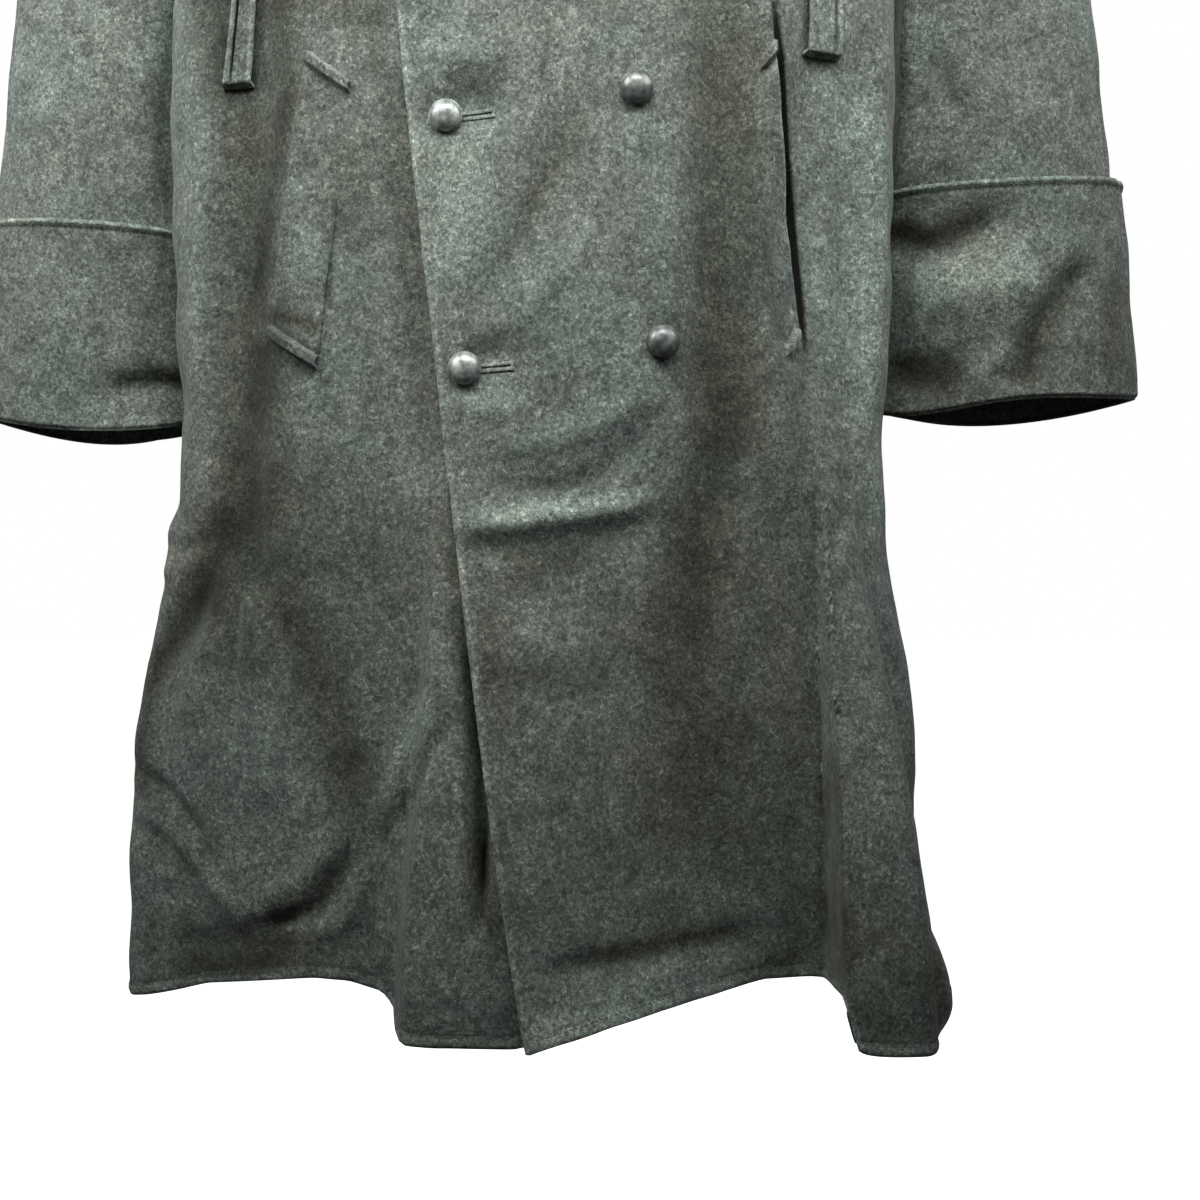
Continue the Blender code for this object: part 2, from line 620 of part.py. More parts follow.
def make_welts(wool):
    """Slanted welts over the pocket mouths. Their sewn ends stand up as bars."""
    bar = np.array([0.0, 0.012, 0.03, 0.045])
    rows = np.concatenate([bar, np.linspace(0.14, 0.86, 7), 1 - bar[::-1]])
    raised = np.interp(rows, [0, 0.012, 0.03, 0.045, 0.955, 0.97, 0.988, 1], [0, 1, 1, 0, 0, 1, 1, 0])

    def make_one(welt):
        def surface(column, row):
            x = between(between(welt.x0, welt.x1, column), between(welt.x2, welt.x3, column), row)
            low = between(welt.bottom0, welt.bottom1, column)
            high = between(welt.top2, welt.top3, column)
            return front_place(x, between(low, high, row))

        def out(place, row):
            bars = WELT_BAR * np.interp(row, rows, raised)
            return front_layer(place) + WELT_GAP + WELT_THICKNESS + bars

        column, row = np.meshgrid(np.linspace(0, 1, 5), rows)
        place, normal = surface(column, row), normals(surface, column, row)
        outer = place + normal * out(place, row)[..., None]
        inner = place + normal * (front_layer(place) + WELT_GAP)[..., None]
        make_wall(f"pocket_welt_{welt.side}", outer, inner, wool)

    for welt in WELTS:
        make_one(welt)


def make_loops(wool):
    """Belt loops: strips sewn down at both ends that stand off the cloth between."""
    for loop in LOOPS:
        def surface(column, row, loop=loop):
            return front_place(loop.x + LOOP_WIDTH * (column - 0.5), loop.bottom + LOOP_LENGTH * row)

        turn = LOOP_TURN / LOOP_LENGTH
        rows = np.array([0, 0.35 * turn, turn, 0.3, 0.5, 0.7, 1 - turn, 1 - 0.35 * turn, 1])
        column, row = np.meshgrid(np.linspace(0, 1, 3), rows)
        place, normal = surface(column, row), normals(surface, column, row)
        stand = LOOP_STAND * ramp(np.minimum(row, 1 - row) / turn)
        inner = place + normal * (front_layer(place) + WELT_GAP + stand)[..., None]
        make_wall(f"belt_loop_{loop.side}", inner + normal * CLOTH, inner, wool)


def make_button(name, place, normal, metal):
    """A domed button on a short shank, turned from its outline about the cloth's normal."""
    base = SHANK_GAP + SHANK_LENGTH
    outline = [(0, SHANK_GAP), (SHANK_RADIUS, SHANK_GAP), (SHANK_RADIUS, base), (0.94 * BUTTON_RADIUS, base)]
    outline.append((BUTTON_RADIUS, base + BUTTON_RIM / 2))
    for lean in (12, 36, 62, 90):
        rise = base + BUTTON_RIM + BUTTON_DOME * math.sin(math.radians(lean))
        outline.append((BUTTON_RADIUS * 0.985 * math.cos(math.radians(lean)), rise))
    outline[-1] = (0, outline[-1][1])
    form = bmesh.new()
    ring = [form.verts.new((radius, 0, rise)) for radius, rise in outline]
    edges = [form.edges.new(pair) for pair in zip(ring, ring[1:])]
    bmesh.ops.spin(form, geom=ring + edges, axis=(0, 0, 1), cent=(0, 0, 0), steps=BUTTON_STEPS,
                   angle=2 * math.pi, use_merge=True)
    bmesh.ops.remove_doubles(form, verts=form.verts, dist=1e-5)
    bmesh.ops.recalc_face_normals(form, faces=form.faces)
    mesh = bpy.data.meshes.new(name)
    form.to_mesh(mesh)
    form.free()
    mesh.shade_smooth()
    button = make_object(name, mesh, metal)
    button.location = place
    button.rotation_mode = "QUATERNION"
    ahead = np.array([-normal[1], normal[0], 0.0])
    tilt = math.acos(max(-1.0, min(1.0, normal[2])))
    ahead = ahead / np.linalg.norm(ahead)
    half = math.sin(tilt / 2)
    button.rotation_quaternion = (math.cos(tilt / 2), ahead[0] * half, ahead[1] * half, ahead[2] * half)


def make_buttons(metal):
    def surface(x, height):
        return front_place(x, height)

    for row in BUTTON_ROWS:
        columns = (("edge", row.inner_x, row.inner_height), ("side", row.outer_x, row.outer_height))
        for column, x, height in columns:
            here = np.array([x]), np.array([height])
            place, normal = surface(*here), normals(surface, *here)
            on_cloth = place + normal * front_layer(place)[..., None]
            make_button(f"button_{column}_{row.name}", on_cloth[0], normal[0], metal)


def main():
    for thing in list(bpy.data.objects):
        bpy.data.objects.remove(thing, do_unlink=True)
    wool = make_material("field_grey_wool", (0.075, 0.092, 0.082), 0.95)
    metal = make_material("painted_button", (0.10, 0.115, 0.105), 0.45, 0.2)
    make_body(wool)
    make_lapels(wool)
    make_collar(wool)
    make_sleeves(wool)
    make_welts(wool)
    make_loops(wool)
    make_buttons(metal)


main()
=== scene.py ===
# %% [markdown]
# # A double-breasted wool overcoat
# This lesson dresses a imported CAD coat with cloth. The CAD gives every panel its size and place. Here
# each panel is cut again as a fine sheet on the same curves, gets the creases of the real coat, a
# thickness and a wool finish.

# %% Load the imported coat
import math
from collections import namedtuple

import bpy
import numpy as np
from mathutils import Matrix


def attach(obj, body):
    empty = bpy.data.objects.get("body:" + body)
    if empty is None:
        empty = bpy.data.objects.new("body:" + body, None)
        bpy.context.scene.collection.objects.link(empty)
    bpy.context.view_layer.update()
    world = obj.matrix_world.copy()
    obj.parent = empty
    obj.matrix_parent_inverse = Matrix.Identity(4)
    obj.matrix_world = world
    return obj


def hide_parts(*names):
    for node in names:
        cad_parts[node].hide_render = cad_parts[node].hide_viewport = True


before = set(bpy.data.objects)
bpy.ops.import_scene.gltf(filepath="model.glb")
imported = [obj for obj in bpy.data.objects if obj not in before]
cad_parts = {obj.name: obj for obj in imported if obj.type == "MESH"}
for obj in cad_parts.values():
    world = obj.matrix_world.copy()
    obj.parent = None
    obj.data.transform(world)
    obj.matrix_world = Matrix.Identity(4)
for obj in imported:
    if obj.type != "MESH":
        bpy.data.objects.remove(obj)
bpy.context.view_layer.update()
BODY, WOOL_SLOT, BUTTON_SLOT = "root", "field_grey_wool", "painted_button"

# %% [markdown]
# ## The body of the coat as one surface
# A coat is cut from flat panels, but once it hangs, fronts and back share one surface. It could be
# sculpted by eye. Working it out from a few sections keeps it exactly where the CAD is. A ring at each
# height is an ellipse with a flattened front and back. Folds push the ring out or in, and start narrow at
# the hips and open out to the hem.

# %% Sizes of the body
HOLD_HEIGHT = 1.050  # the shoulders carry the coat at this height above the hem, which is the origin
CLOTH, CUFF_CLOTH = 0.0025, 0.0030
SEAM_GAP = 0.0003
SIDE_SEAM = SEAM_GAP / 2 / 0.4
UNDERARM, WAIST = 0.800, 0.450
SHOULDER_X, SHOULDER_HEIGHT = 0.225, 1.025
NECK_X, NECK_HEIGHT, NECK_BACK = 0.085, 1.075, 0.055
BODY_ROUNDNESS, ARMHOLE_SCOOP = 0.70, 0.035
EDGE_AT_HEM, EDGE_LEAN, EDGE_BOW, EDGE_BOW_TOP = -0.0044, 0.128, 0.045, 0.65
UNDERLAP = 0.095
LAYER, LAYER_CLEAR_X, LAYER_FADE = 0.0042, 0.105, 0.075
LAYER_TOP, LAYER_TOP_FADE = 0.55, 0.20
SKIRT_STANDOFF, STANDOFF_TOP, STANDOFF_REACH = 0.010, 0.34, 0.10
STEP = 1e-4  # for slopes

Section = namedtuple("Section", "height centre half_width front back")
SECTIONS = (
    Section(-0.05, -0.0045, 0.264, 0.086, 0.126),
    Section(0.00, -0.0045, 0.262, 0.088, 0.124),
    Section(0.15, -0.0045, 0.256, 0.095, 0.117),
    Section(0.30, -0.0060, 0.2452, 0.102, 0.109),
    Section(WAIST, -0.0045, 0.246, 0.106, 0.102),
    Section(0.66, -0.0035, 0.249, 0.106, 0.098),
    Section(UNDERARM, 0.0, 0.241, 0.104, 0.098),
)
Fold = namedtuple("Fold", "name bearing crest before after depth lift top full foot")
FOLDS = (
    Fold("overlap ridge", -8, 7.5, 4.5, 34, 0.050, 0.000, 0.42, 0.00, -1),
    Fold("front valley", 39, 4, 30, 6, -0.004, 0.000, 0.36, 0.00, -1),
    Fold("left side ridge", 54.4, 4, 3.0, 19.5, 0.064, 0.000, 0.42, 0.00, -1),
    Fold("left side flare", 92, 8, 16, 24, 0.010, 0.000, 0.325, 0.22, 0.02),
    Fold("left corner kick", 88, 6, 18, 20, 0.027, 0.000, 0.095, -0.002, -1),
    Fold("right valley", -42, 19, 15, 7, -0.006, 0.000, 0.40, 0.00, -1),
    Fold("right side kick", -94, 8, 22, 16, 0.0065, 0.000, 0.350, 0.318, -1),
    Fold("right side flare", -94, 8, 22, 16, 0.0135, 0.000, 0.325, 0.12, -1),
    Fold("left side draw", 90, 10, 20, 20, -0.003, 0.000, 0.47, 0.40, 0.32),
    Fold("right side draw", -90, 10, 20, 20, -0.0045, 0.000, 0.47, 0.40, 0.33),
    Fold("left pocket drop", 55, 8, 11, 14, -0.023, 0.000, 0.76, 0.53, 0.30),
    Fold("right pocket drop", -51, 2, 9, 15, -0.009, 0.000, 0.76, 0.50, 0.26),
    Fold("back left fold", 124, 5, 16, 20, 0.030, -0.004, 0.46, 0.00, -1),
    Fold("back middle fold", 186, 6, 22, 20, 0.034, -0.004, 0.55, 0.00, -1),
    Fold("back right fold", -118, 6, 20, 18, 0.030, -0.004, 0.48, 0.00, -1),
    Fold("back left hollow", 152, 8, 14, 16, -0.010, 0.008, 0.50, 0.05, -1),
    Fold("back right hollow", -148, 8, 16, 14, -0.010, 0.008, 0.50, 0.05, -1),
)
FOLD_START_WIDTH = 0.45
SIDE_RIDGE = FOLDS[2]
RIDGE_STRAIGHT, RIDGE_TURN = 50.0, 10  # up to this bearing the side ridge comes straight to the front
HemPoint = namedtuple("HemPoint", "bearing height")
HEM = tuple(HemPoint(bearing, height / 1000) for bearing, height in (  # in millimetres
    (-108, 6), (-93, 9), (-83, 3.5), (-78, 5.5), (-66, 12), (-57, 18), (-45, 22), (-33, 26), (-27, 25),
    (-21.5, 18.5), (-18, -1), (-12, -3), (-1, -3.5), (3, 4.5), (9, 11), (18, 16.8), (27, 22.2), (36, 26.4),
    (42, 25.8), (46, 25.8), (49.4, 24.5), (50.4, 23.5), (50.8, -4), (51.8, -9.2), (53.6, -12), (57, -14.2),
    (66, -17), (71, -22), (74, -25.5), (78, -15), (82, -4.5), (86, 2), (92, 4), (108, 0),
))
HEM_SOFTENING = np.linspace(-0.8, 0.8, 5)  # degrees
print(len(SECTIONS), "sections and", len(FOLDS), "folds")


# %% Curves of the body
def ramp(share):
    """Goes smoothly from 0 to 1 as share does, and stays there."""
    share = np.clip(share, 0, 1)
    return share * share * (3 - 2 * share)


def bell(away, width):
    """A soft bump, 1 in its middle."""
    return np.exp(-((away / width) ** 2))


def between(low, high, share):
    return low + (high - low) * share


def section(column, height):
    """A column of SECTIONS at any height, on a smooth curve through its rows."""
    heights = np.array([row.height for row in SECTIONS])
    values = np.array([getattr(row, column) for row in SECTIONS])
    slopes = np.gradient(values, heights)
    height = np.clip(height, heights[0], heights[-1])
    row = np.clip(np.searchsorted(heights, height) - 1, 0, len(heights) - 2)
    span = heights[row + 1] - heights[row]
    t = (height - heights[row]) / span
    rise = values[row + 1] - values[row]
    bend = t * (1 - t) * ((1 - t) * (slopes[row] * span - rise) - t * (slopes[row + 1] * span - rise))
    return values[row] + rise * t + bend


def fold_growth(fold, height):
    """From 0 where a fold starts to 1 where it is full, and back to 0 at its foot."""
    rising = ramp((fold.top - height) / (fold.top - fold.full))
    dying = ramp((height - fold.foot) / (fold.full - fold.foot))
    return np.where(height > fold.full, rising, dying)


def fold_shape(fold, bearing, growth):
    """A fold's profile round the body: its crest and two flanks."""
    away = (bearing - fold.bearing + 180) % 360 - 180
    width = between(FOLD_START_WIDTH, 1, growth)
    flank = np.where(away < 0, fold.before, fold.after) * width
    return 1 - ramp((np.abs(away) - fold.crest * width) / flank)


def fold_depth(bearing, height):
    total = 0.0
    for fold in FOLDS:
        growth = fold_growth(fold, height)
        total = total + fold.depth * growth * fold_shape(fold, bearing, growth)
    return total


def hem_height(bearing):
    """The hem's line round the front, with its corners softened, and the lifts of the back's folds."""
    around = (bearing + 180) % 360 - 180
    knots, heights = [point.bearing for point in HEM], [point.height for point in HEM]
    front = sum(np.interp(around + shift, knots, heights) for shift in HEM_SOFTENING) / len(HEM_SOFTENING)
    return front + sum(fold.lift * fold_shape(fold, bearing, 1.0) for fold in FOLDS)


def points(x, y, height):
    return np.stack(np.broadcast_arrays(x, y, height - HOLD_HEIGHT), axis=-1).astype(float)


def lower_body(bearing, height):
    """From the hem to the underarm: a ring with its folds."""
    half_width = section("half_width", height)
    angle = np.radians(bearing)
    across, ahead = np.sin(angle), np.cos(angle)
    depth = np.where(ahead > 0, section("front", height), section("back", height))
    x = section("centre", height) + half_width * across
    y = -np.sign(ahead) * depth * np.abs(ahead) ** BODY_ROUNDNESS
    out_x = across / half_width
    out_y = -np.sign(ahead) * np.abs(ahead) ** (2 - BODY_ROUNDNESS) / (BODY_ROUNDNESS * depth)
    size = np.hypot(out_x, out_y)
    fold = fold_depth(bearing, height)
    growth = fold_growth(SIDE_RIDGE, height)
    straight = 1 - ramp((bearing - RIDGE_STRAIGHT) / RIDGE_TURN)
    sideways = fold - SIDE_RIDGE.depth * growth * fold_shape(SIDE_RIDGE, bearing, growth) * straight
    return points(x + out_x / size * sideways, y + out_y / size * fold, height)


def shoulder_line(x):
    """Height of the shoulder seam, carried smoothly across the neck."""
    slope = (NECK_HEIGHT - SHOULDER_HEIGHT) / (SHOULDER_X - NECK_X)
    x = np.abs(x)
    over_neck = (NECK_X**2 - x**2) / (2 * NECK_X)
    return NECK_HEIGHT + slope * np.where(x < NECK_X, over_neck, NECK_X - x)


def body_depth(x, column):
    share = np.clip(1 - (x / section("half_width", UNDERARM)) ** 2, 0, 1)
    return section(column, UNDERARM) * share ** (BODY_ROUNDNESS / 2)


def upper_body(x, turn, column):
    """From the underarm, at turn 0, over to the shoulder seam, at a quarter turn."""
    side = -1 if column == "front" else 1
    height = UNDERARM + (shoulder_line(x) - UNDERARM) * np.sin(turn)
    return points(x, side * body_depth(x, column) * np.cos(turn), height)


def armhole_x(turn):
    share = turn / (math.pi / 2)
    return between(section("half_width", UNDERARM), SHOULDER_X, share) - ARMHOLE_SCOOP * np.sin(2 * turn)


def front_edge(height):
    """The left front's edge, which leans and bows a little."""
    return EDGE_AT_HEM - EDGE_LEAN * height - EDGE_BOW * height * (EDGE_BOW_TOP - height)


def roll_line(turn):
    return between(front_edge(UNDERARM), NECK_X, np.sin(turn))


def bearing_of(x, height):
    share = (x - section("centre", height)) / section("half_width", height)
    return np.degrees(np.arcsin(np.clip(share, -1, 1)))


def seam_turn(x, column):
    return np.arccos(np.clip(SEAM_GAP / body_depth(x, column), 0, 1))


ring = lower_body(np.linspace(0, 360, 181), np.full(181, WAIST))
print("girth at the waist", round(float(np.linalg.norm(np.diff(ring, axis=0), axis=1).sum()), 3), "m")


# %% Fronts and back as stretches of that surface
def front_surface(edge_of, roll_of):
    """A front by column, 0 at its edge and 1 at its side, and row, 0 at the hem, 1 underarm, 2 shoulder."""

    def surface(column, row, sign):
        lower = np.clip(row, None, 1)
        height = UNDERARM * lower
        edge = sign * bearing_of(sign * edge_of(height), height)
        bearing = sign * between(edge, 90, column)
        hem = hem_height(bearing)
        height = hem + (UNDERARM - hem) * lower
        skirt = lower_body(bearing, height)
        turn = np.clip(row - 1, 0, None) * seam_turn(between(NECK_X, SHOULDER_X, column), "front")
        start = edge_of(UNDERARM) / section("half_width", UNDERARM)
        share = (np.sin(np.radians(between(np.degrees(np.arcsin(start)), 90, column))) - start) / (1 - start)
        chest = upper_body(sign * between(roll_of(turn), armhole_x(turn), share), turn, "front")
        return np.where((row > 1)[..., None], chest, skirt)

    return surface


def left_front_surface(column, row):
    return front_surface(front_edge, roll_line)(column, row, 1)


def right_front_surface(column, row):
    """Column 0 is its side and 1 its hidden edge, so that columns run the same way round the body."""
    def hidden_edge(height):
        return -UNDERLAP + 0 * height

    def hidden_roll(turn):
        return between(-UNDERLAP, NECK_X, np.sin(turn))

    return front_surface(hidden_edge, hidden_roll)(1 - column, row, -1)


def back_surface(column, row):
    bearing = between(90, 270, column)
    lower = np.clip(row, None, 1)
    hem = hem_height(bearing)
    skirt = lower_body(bearing, hem + (UNDERARM - hem) * lower)
    across = np.sin(np.radians(bearing))
    top_x = SHOULDER_X * across
    neck = NECK_BACK * np.sqrt(np.clip(1 - (top_x / NECK_X) ** 2, 0, 1))
    last = np.arccos(np.clip(np.maximum(neck, SEAM_GAP) / body_depth(top_x, "back"), 0, 1))
    turn = np.clip(row - 1, 0, None) * last
    yoke = upper_body(armhole_x(turn) * across, turn, "back")
    return np.where((row > 1)[..., None], yoke, skirt)


def layer(x, height, share_up):
    """How far the left front's outer face stands off the body surface, over the right front."""
    overlap = 1 - ramp((x - LAYER_CLEAR_X) / LAYER_FADE)
    fading = 1 - ramp((share_up - LAYER_TOP) / LAYER_TOP_FADE)
    from_edge = ramp((x - front_edge(height)) / STANDOFF_REACH)
    standoff = SKIRT_STANDOFF * ramp((STANDOFF_TOP - height) / STANDOFF_TOP) * (1 - from_edge)
    return LAYER * overlap * fading + standoff


def normals(surface, column, row):
    """Outward normals, from the slopes of the surface."""
    along = surface(column + STEP, row) - surface(column - STEP, row)
    up = surface(column, row + STEP) - surface(column, row - STEP)
    out = np.cross(along, up)
    return out / np.linalg.norm(out, axis=-1, keepdims=True)


print("left front's edge at hem and underarm:", round(front_edge(0.0), 4), round(front_edge(UNDERARM), 4))

# %% [markdown]
# ## Creases
# Between the big folds, worn wool has dozens of soft creases: pulls towards the buttons, folds across the
# hips, slings in the skirt. They could be painted as shading or bump, but then they would not catch the
# light from other sides. Each one here is a line on the cloth, through three places, and the cloth near
# it is moved out (a ridge) or in (a trough).

# %% Crease table
Crease = namedtuple("Crease", "name x0 height0 x1 height1 x2 height2 width depth")


def read_creases(*rows):
    """Creases from rows in millimetres, with a crease's columns."""
    return tuple(Crease(name, *(size / 1000 for size in sizes)) for name, *sizes in rows)


LEFT_CREASES = read_creases(
    ("button pull", 25, 594, -2, 524, -39, 445, 11, -4),
    ("pull, upper side", -22, 575, -36, 524, -52, 470, 13, 2.2),
    ("pull, lower side", 41, 518, 10, 473, -20, 448, 11, 3),
    ("top button tuck", -72, 584, -52, 583, -25, 590, 10.4, -4.5),
    ("over top button", -70, 615, -51, 619, -22, 622, 13, 3),
    ("low button tuck", -56, 421, -40, 425, -21, 432, 8.4, -3.5),
    ("under low button", -41, 393, -22, 393, 3, 396, 7.8, 2.2),
    ("side button dimple", 61, 598, 65, 597, 68, 596, 11.7, -3),
    ("low side button dimple", 78, 439, 81, 438, 84, 436, 11.7, -3),
    ("pocket valley", 126, 760, 119, 542, 113, 344, 23, -16),
    ("pocket valley foot", 113, 390, 104, 300, 99, 216, 20, -10),
    ("waist fold", -22, 374, 25, 378, 70, 406, 9.7, 3.6),
    ("waist fold, under", -22, 345, 35, 350, 76, 389, 8.4, -3.2),
    ("hip fold", -54, 320, 7, 325, 83, 339, 7.5, 4.4),
    ("hip fold, under", -50, 304, 7, 308, 73, 320, 8.5, -3),
    ("second hip fold", -44, 295, -30, 295, -10, 299, 5.7, 1.8),
    ("thigh swell", -40, 240, 4, 244, 48, 249, 13, 2.8),
    ("thigh hollow", -33, 209, 16, 212, 67, 217, 14.3, -2),
    ("hem tuck", -6, 46, 66, 50, 149, 57, 8.3, -4),
    ("hem flip", -10, -12, 55, 0, 150, 18, 26, 9),
    ("side crease", 202, 360, 203, 336, 192, 310, 4.6, -2.5),
    ("side swell", 221, 635, 220, 503, 216, 381, 10.4, 2.5),
    ("pocket bag", 182, 629, 190, 541, 193, 454, 11.7, 2),
)
POCKET_MOUTH, OVERLAP_GAP = read_creases(
    ("pocket mouth", 154.5, 660, 165.8, 556, 177.2, 438, 1.7, -14),
    ("gap beside the overlap", -44, 262, -34, 165, -34, 66, 6, -15),
)
RIGHT_CREASES = read_creases(
    ("pocket valley", -178, 680, -194, 505, -196, 356, 21, -7),
    ("pocket valley foot", -196, 390, -191, 326, -188, 270, 16, -7),
    ("side swell", -226, 645, -226, 506, -225, 374, 9.1, 3),
    ("knee drag", -208, 340, -222, 287, -258, 225, 13.2, -8),
    ("drag kink", -263, 294, -242, 294, -221, 303, 7.2, 1.6),
    ("over the kink", -257, 312, -237, 310, -218, 315, 5.2, -1.6),
    ("skirt swell", -184, 281, -180, 222, -171, 136, 13, 4),
    ("skirt swell crease", -196, 281, -200, 228, -204, 175, 3.9, -2),
    ("side blob", -219, 251, -228, 224, -236, 190, 8.4, 3),
    ("skirt hollow", -153, 271, -139, 222, -119, 180, 16.3, -4),
    ("overlap swell", -70, 357, -71, 274, -60, 211, 15.6, 4),
    ("overlap crease", -51, 202, -78, 156, -89, 124, 4.6, -4.5),
    ("overlap crease, side", -64, 211, -87, 170, -100, 124, 7.2, 3),
    ("sling trough", -273, 158, -241, 132, -213, 92, 5.8, -4.5),
    ("sling ridge", -272, 134, -236, 109, -203, 65, 7.8, 5),
    ("sling bottom", -186, 59, -142, 75, -120, 117, 6.6, -5),
    ("sling bag", -181, 84, -154, 92, -132, 119, 11.7, 4),
    ("under the sling", -143, 54, -122, 71, -108, 101, 7.2, 3.5),
    ("hem tuck", -257, 37, -201, 41, -152, 48, 15, -6.5),
    ("ridge foot", -98, 130, -101, 100, -102, 73, 7.2, -4),
    ("beside the overlap", -83, 586, -78, 484, -66, 382, 11, -3),
    ("skirt edge swell", -264, 288, -265, 230, -273, 161, 13, 5.2),
)
SLEEVE_CREASES = read_creases(
    ("left cuff tuck", 252, 543, 281, 524, 325, 549, 11.8, -8.5),
    ("left cuff swell", 261, 488, 300, 493, 360, 516, 23.2, 8.5),
    ("left cuff drag", 387, 512, 363, 481, 344, 440, 10.6, -7),
    ("left cuff drag, side", 334, 455, 315, 436, 321, 431, 8.9, 4.5),
    ("left cuff shade", 254, 448, 275, 436, 295, 444, 13.1, -4.5),
    ("right cuff tuck", -307, 422, -281, 429, -242, 427, 8.1, -5.5),
    ("right cuff swell", -336, 384, -301, 386, -262, 393, 13, 6),
    ("left sleeve crease", 271, 658, 284, 634, 296, 613, 7.2, -2.5),
    ("right sleeve hollow", -258, 673, -264, 613, -265, 552, 7.2, -3),
)
print(len(LEFT_CREASES) + len(RIGHT_CREASES) + len(SLEEVE_CREASES), "creases")


# %% Creases as depths on the cloth
CREASE_STEPS, CREASE_REACH = 12, 2.6  # straight stretches in a crease, and widths that it reaches
TAPER_START, TAPER_LENGTH = 0.10, 0.32  # shares of a crease's length
EDGE_BLEND = 0.006
Wave = namedtuple("Wave", "length height count")
WAVES = (Wave(0.13, 0.0011, 9), Wave(0.055, 0.0006, 12), Wave(0.024, 0.00022, 12))
WAVE_STRETCH = np.array([1.0, 1.0, 0.7])


def crease_depth(creases, x, height):
    """How far these creases move the cloth out at places seen from the front."""
    total = np.zeros(np.broadcast(x, height).shape)
    for crease in creases:
        t = np.linspace(0, 1, CREASE_STEPS + 1)[:, None]
        start, end = np.array([crease.x0, crease.height0]), np.array([crease.x2, crease.height2])
        bend = 2 * np.array([crease.x1, crease.height1]) - (start + end) / 2
        line = (1 - t) ** 2 * start + 2 * t * (1 - t) * bend + t**2 * end
        reach = CREASE_REACH * crease.width
        near = np.abs(x - line[:, 0].mean()) < np.ptp(line[:, 0]) + reach
        near &= np.abs(height - line[:, 1].mean()) < np.ptp(line[:, 1]) + reach
        if not near.any():
            continue
        spot = np.stack([x[near], height[near]], axis=-1)
        best, place = np.full(len(spot), np.inf), np.zeros(len(spot))
        for index, (a, b) in enumerate(zip(line[:-1], line[1:])):
            along = np.clip((spot - a) @ (b - a) / max((b - a) @ (b - a), 1e-12), 0, 1)
            away = np.linalg.norm(spot - a - along[:, None] * (b - a), axis=1)
            nearer = away < best
            best[nearer] = away[nearer]
            place[nearer] = (index + along[nearer]) / CREASE_STEPS
        taper = ramp((np.minimum(place, 1 - place) + TAPER_START) / TAPER_LENGTH)
        total[near] += crease.depth * bell(best, crease.width) * taper
    return total


def ripple(place):
    """Small unevenness of the cloth, as a sum of long and short waves in fixed directions."""
    draw = np.random.default_rng(11)
    total = np.zeros(place.shape[:-1])
    for wave in WAVES:
        for _ in range(wave.count):
            direction = draw.normal(size=3) * WAVE_STRETCH
            direction *= 2 * math.pi / wave.length / np.linalg.norm(direction)
            phase = draw.uniform(0, 2 * math.pi)
            total += wave.height / math.sqrt(wave.count) * np.sin(place @ direction + phase)
    return total


def front_relief(place):
    """Creases and ripple of whichever front is outermost."""
    x, height = place[..., 0], place[..., 2] + HOLD_HEIGHT
    over = ramp((x - front_edge(height)) / EDGE_BLEND + 0.5)
    creases = over * crease_depth(LEFT_CREASES, x, height)
    return creases + (1 - over) * crease_depth(RIGHT_CREASES, x, height) + ripple(place)


fold = next(crease for crease in LEFT_CREASES if crease.name == "hip fold")
middle = points(np.array([fold.x1]), np.zeros(1), np.array([fold.height1]))
print("relief at the hip fold", round(float(front_relief(middle)[0]) * 1000, 2), "mm")

# %% [markdown]
# ## Painted light and shade on the cloth
# The cloth is painted lighter on ridges and lit strips, as painted highlights, and darker in hollows,
# creases and gaps, under buttons, welts and the collar, and towards the hem, as painted shade. Edges get a
# lighter band, edge wear with a painted highlight. This could be a noise texture, but the shade follows the
# folds. So each mark is a line with a width, like a crease, and its tone goes into an attribute of the mesh
# that the wool finish reads.

# %% Marks of painted light and shade
RubMark = namedtuple("RubMark", Crease._fields[:-1] + ("tone",))
SHADE_BY_RELIEF = 14.0  # painted shade in troughs and painted highlight on ridges: tone for each metre of relief
# a lighter band along edges: edge wear with a painted highlight
EDGE_WEAR_AND_HIGHLIGHT_TONE, EDGE_WEAR_AND_HIGHLIGHT_WIDTH = 0.45, 0.0026
FACING_END, FACING_FADE = 0.25, 0.5  # marks end on what faces back


def read_painted_light(*rows):
    """Marks of painted light and shade from rows in millimetres, with a crease's columns and a tone at the
    end.
    """
    return tuple(RubMark(name, *(size / 1000 for size in sizes), tone) for name, *sizes, tone in rows)
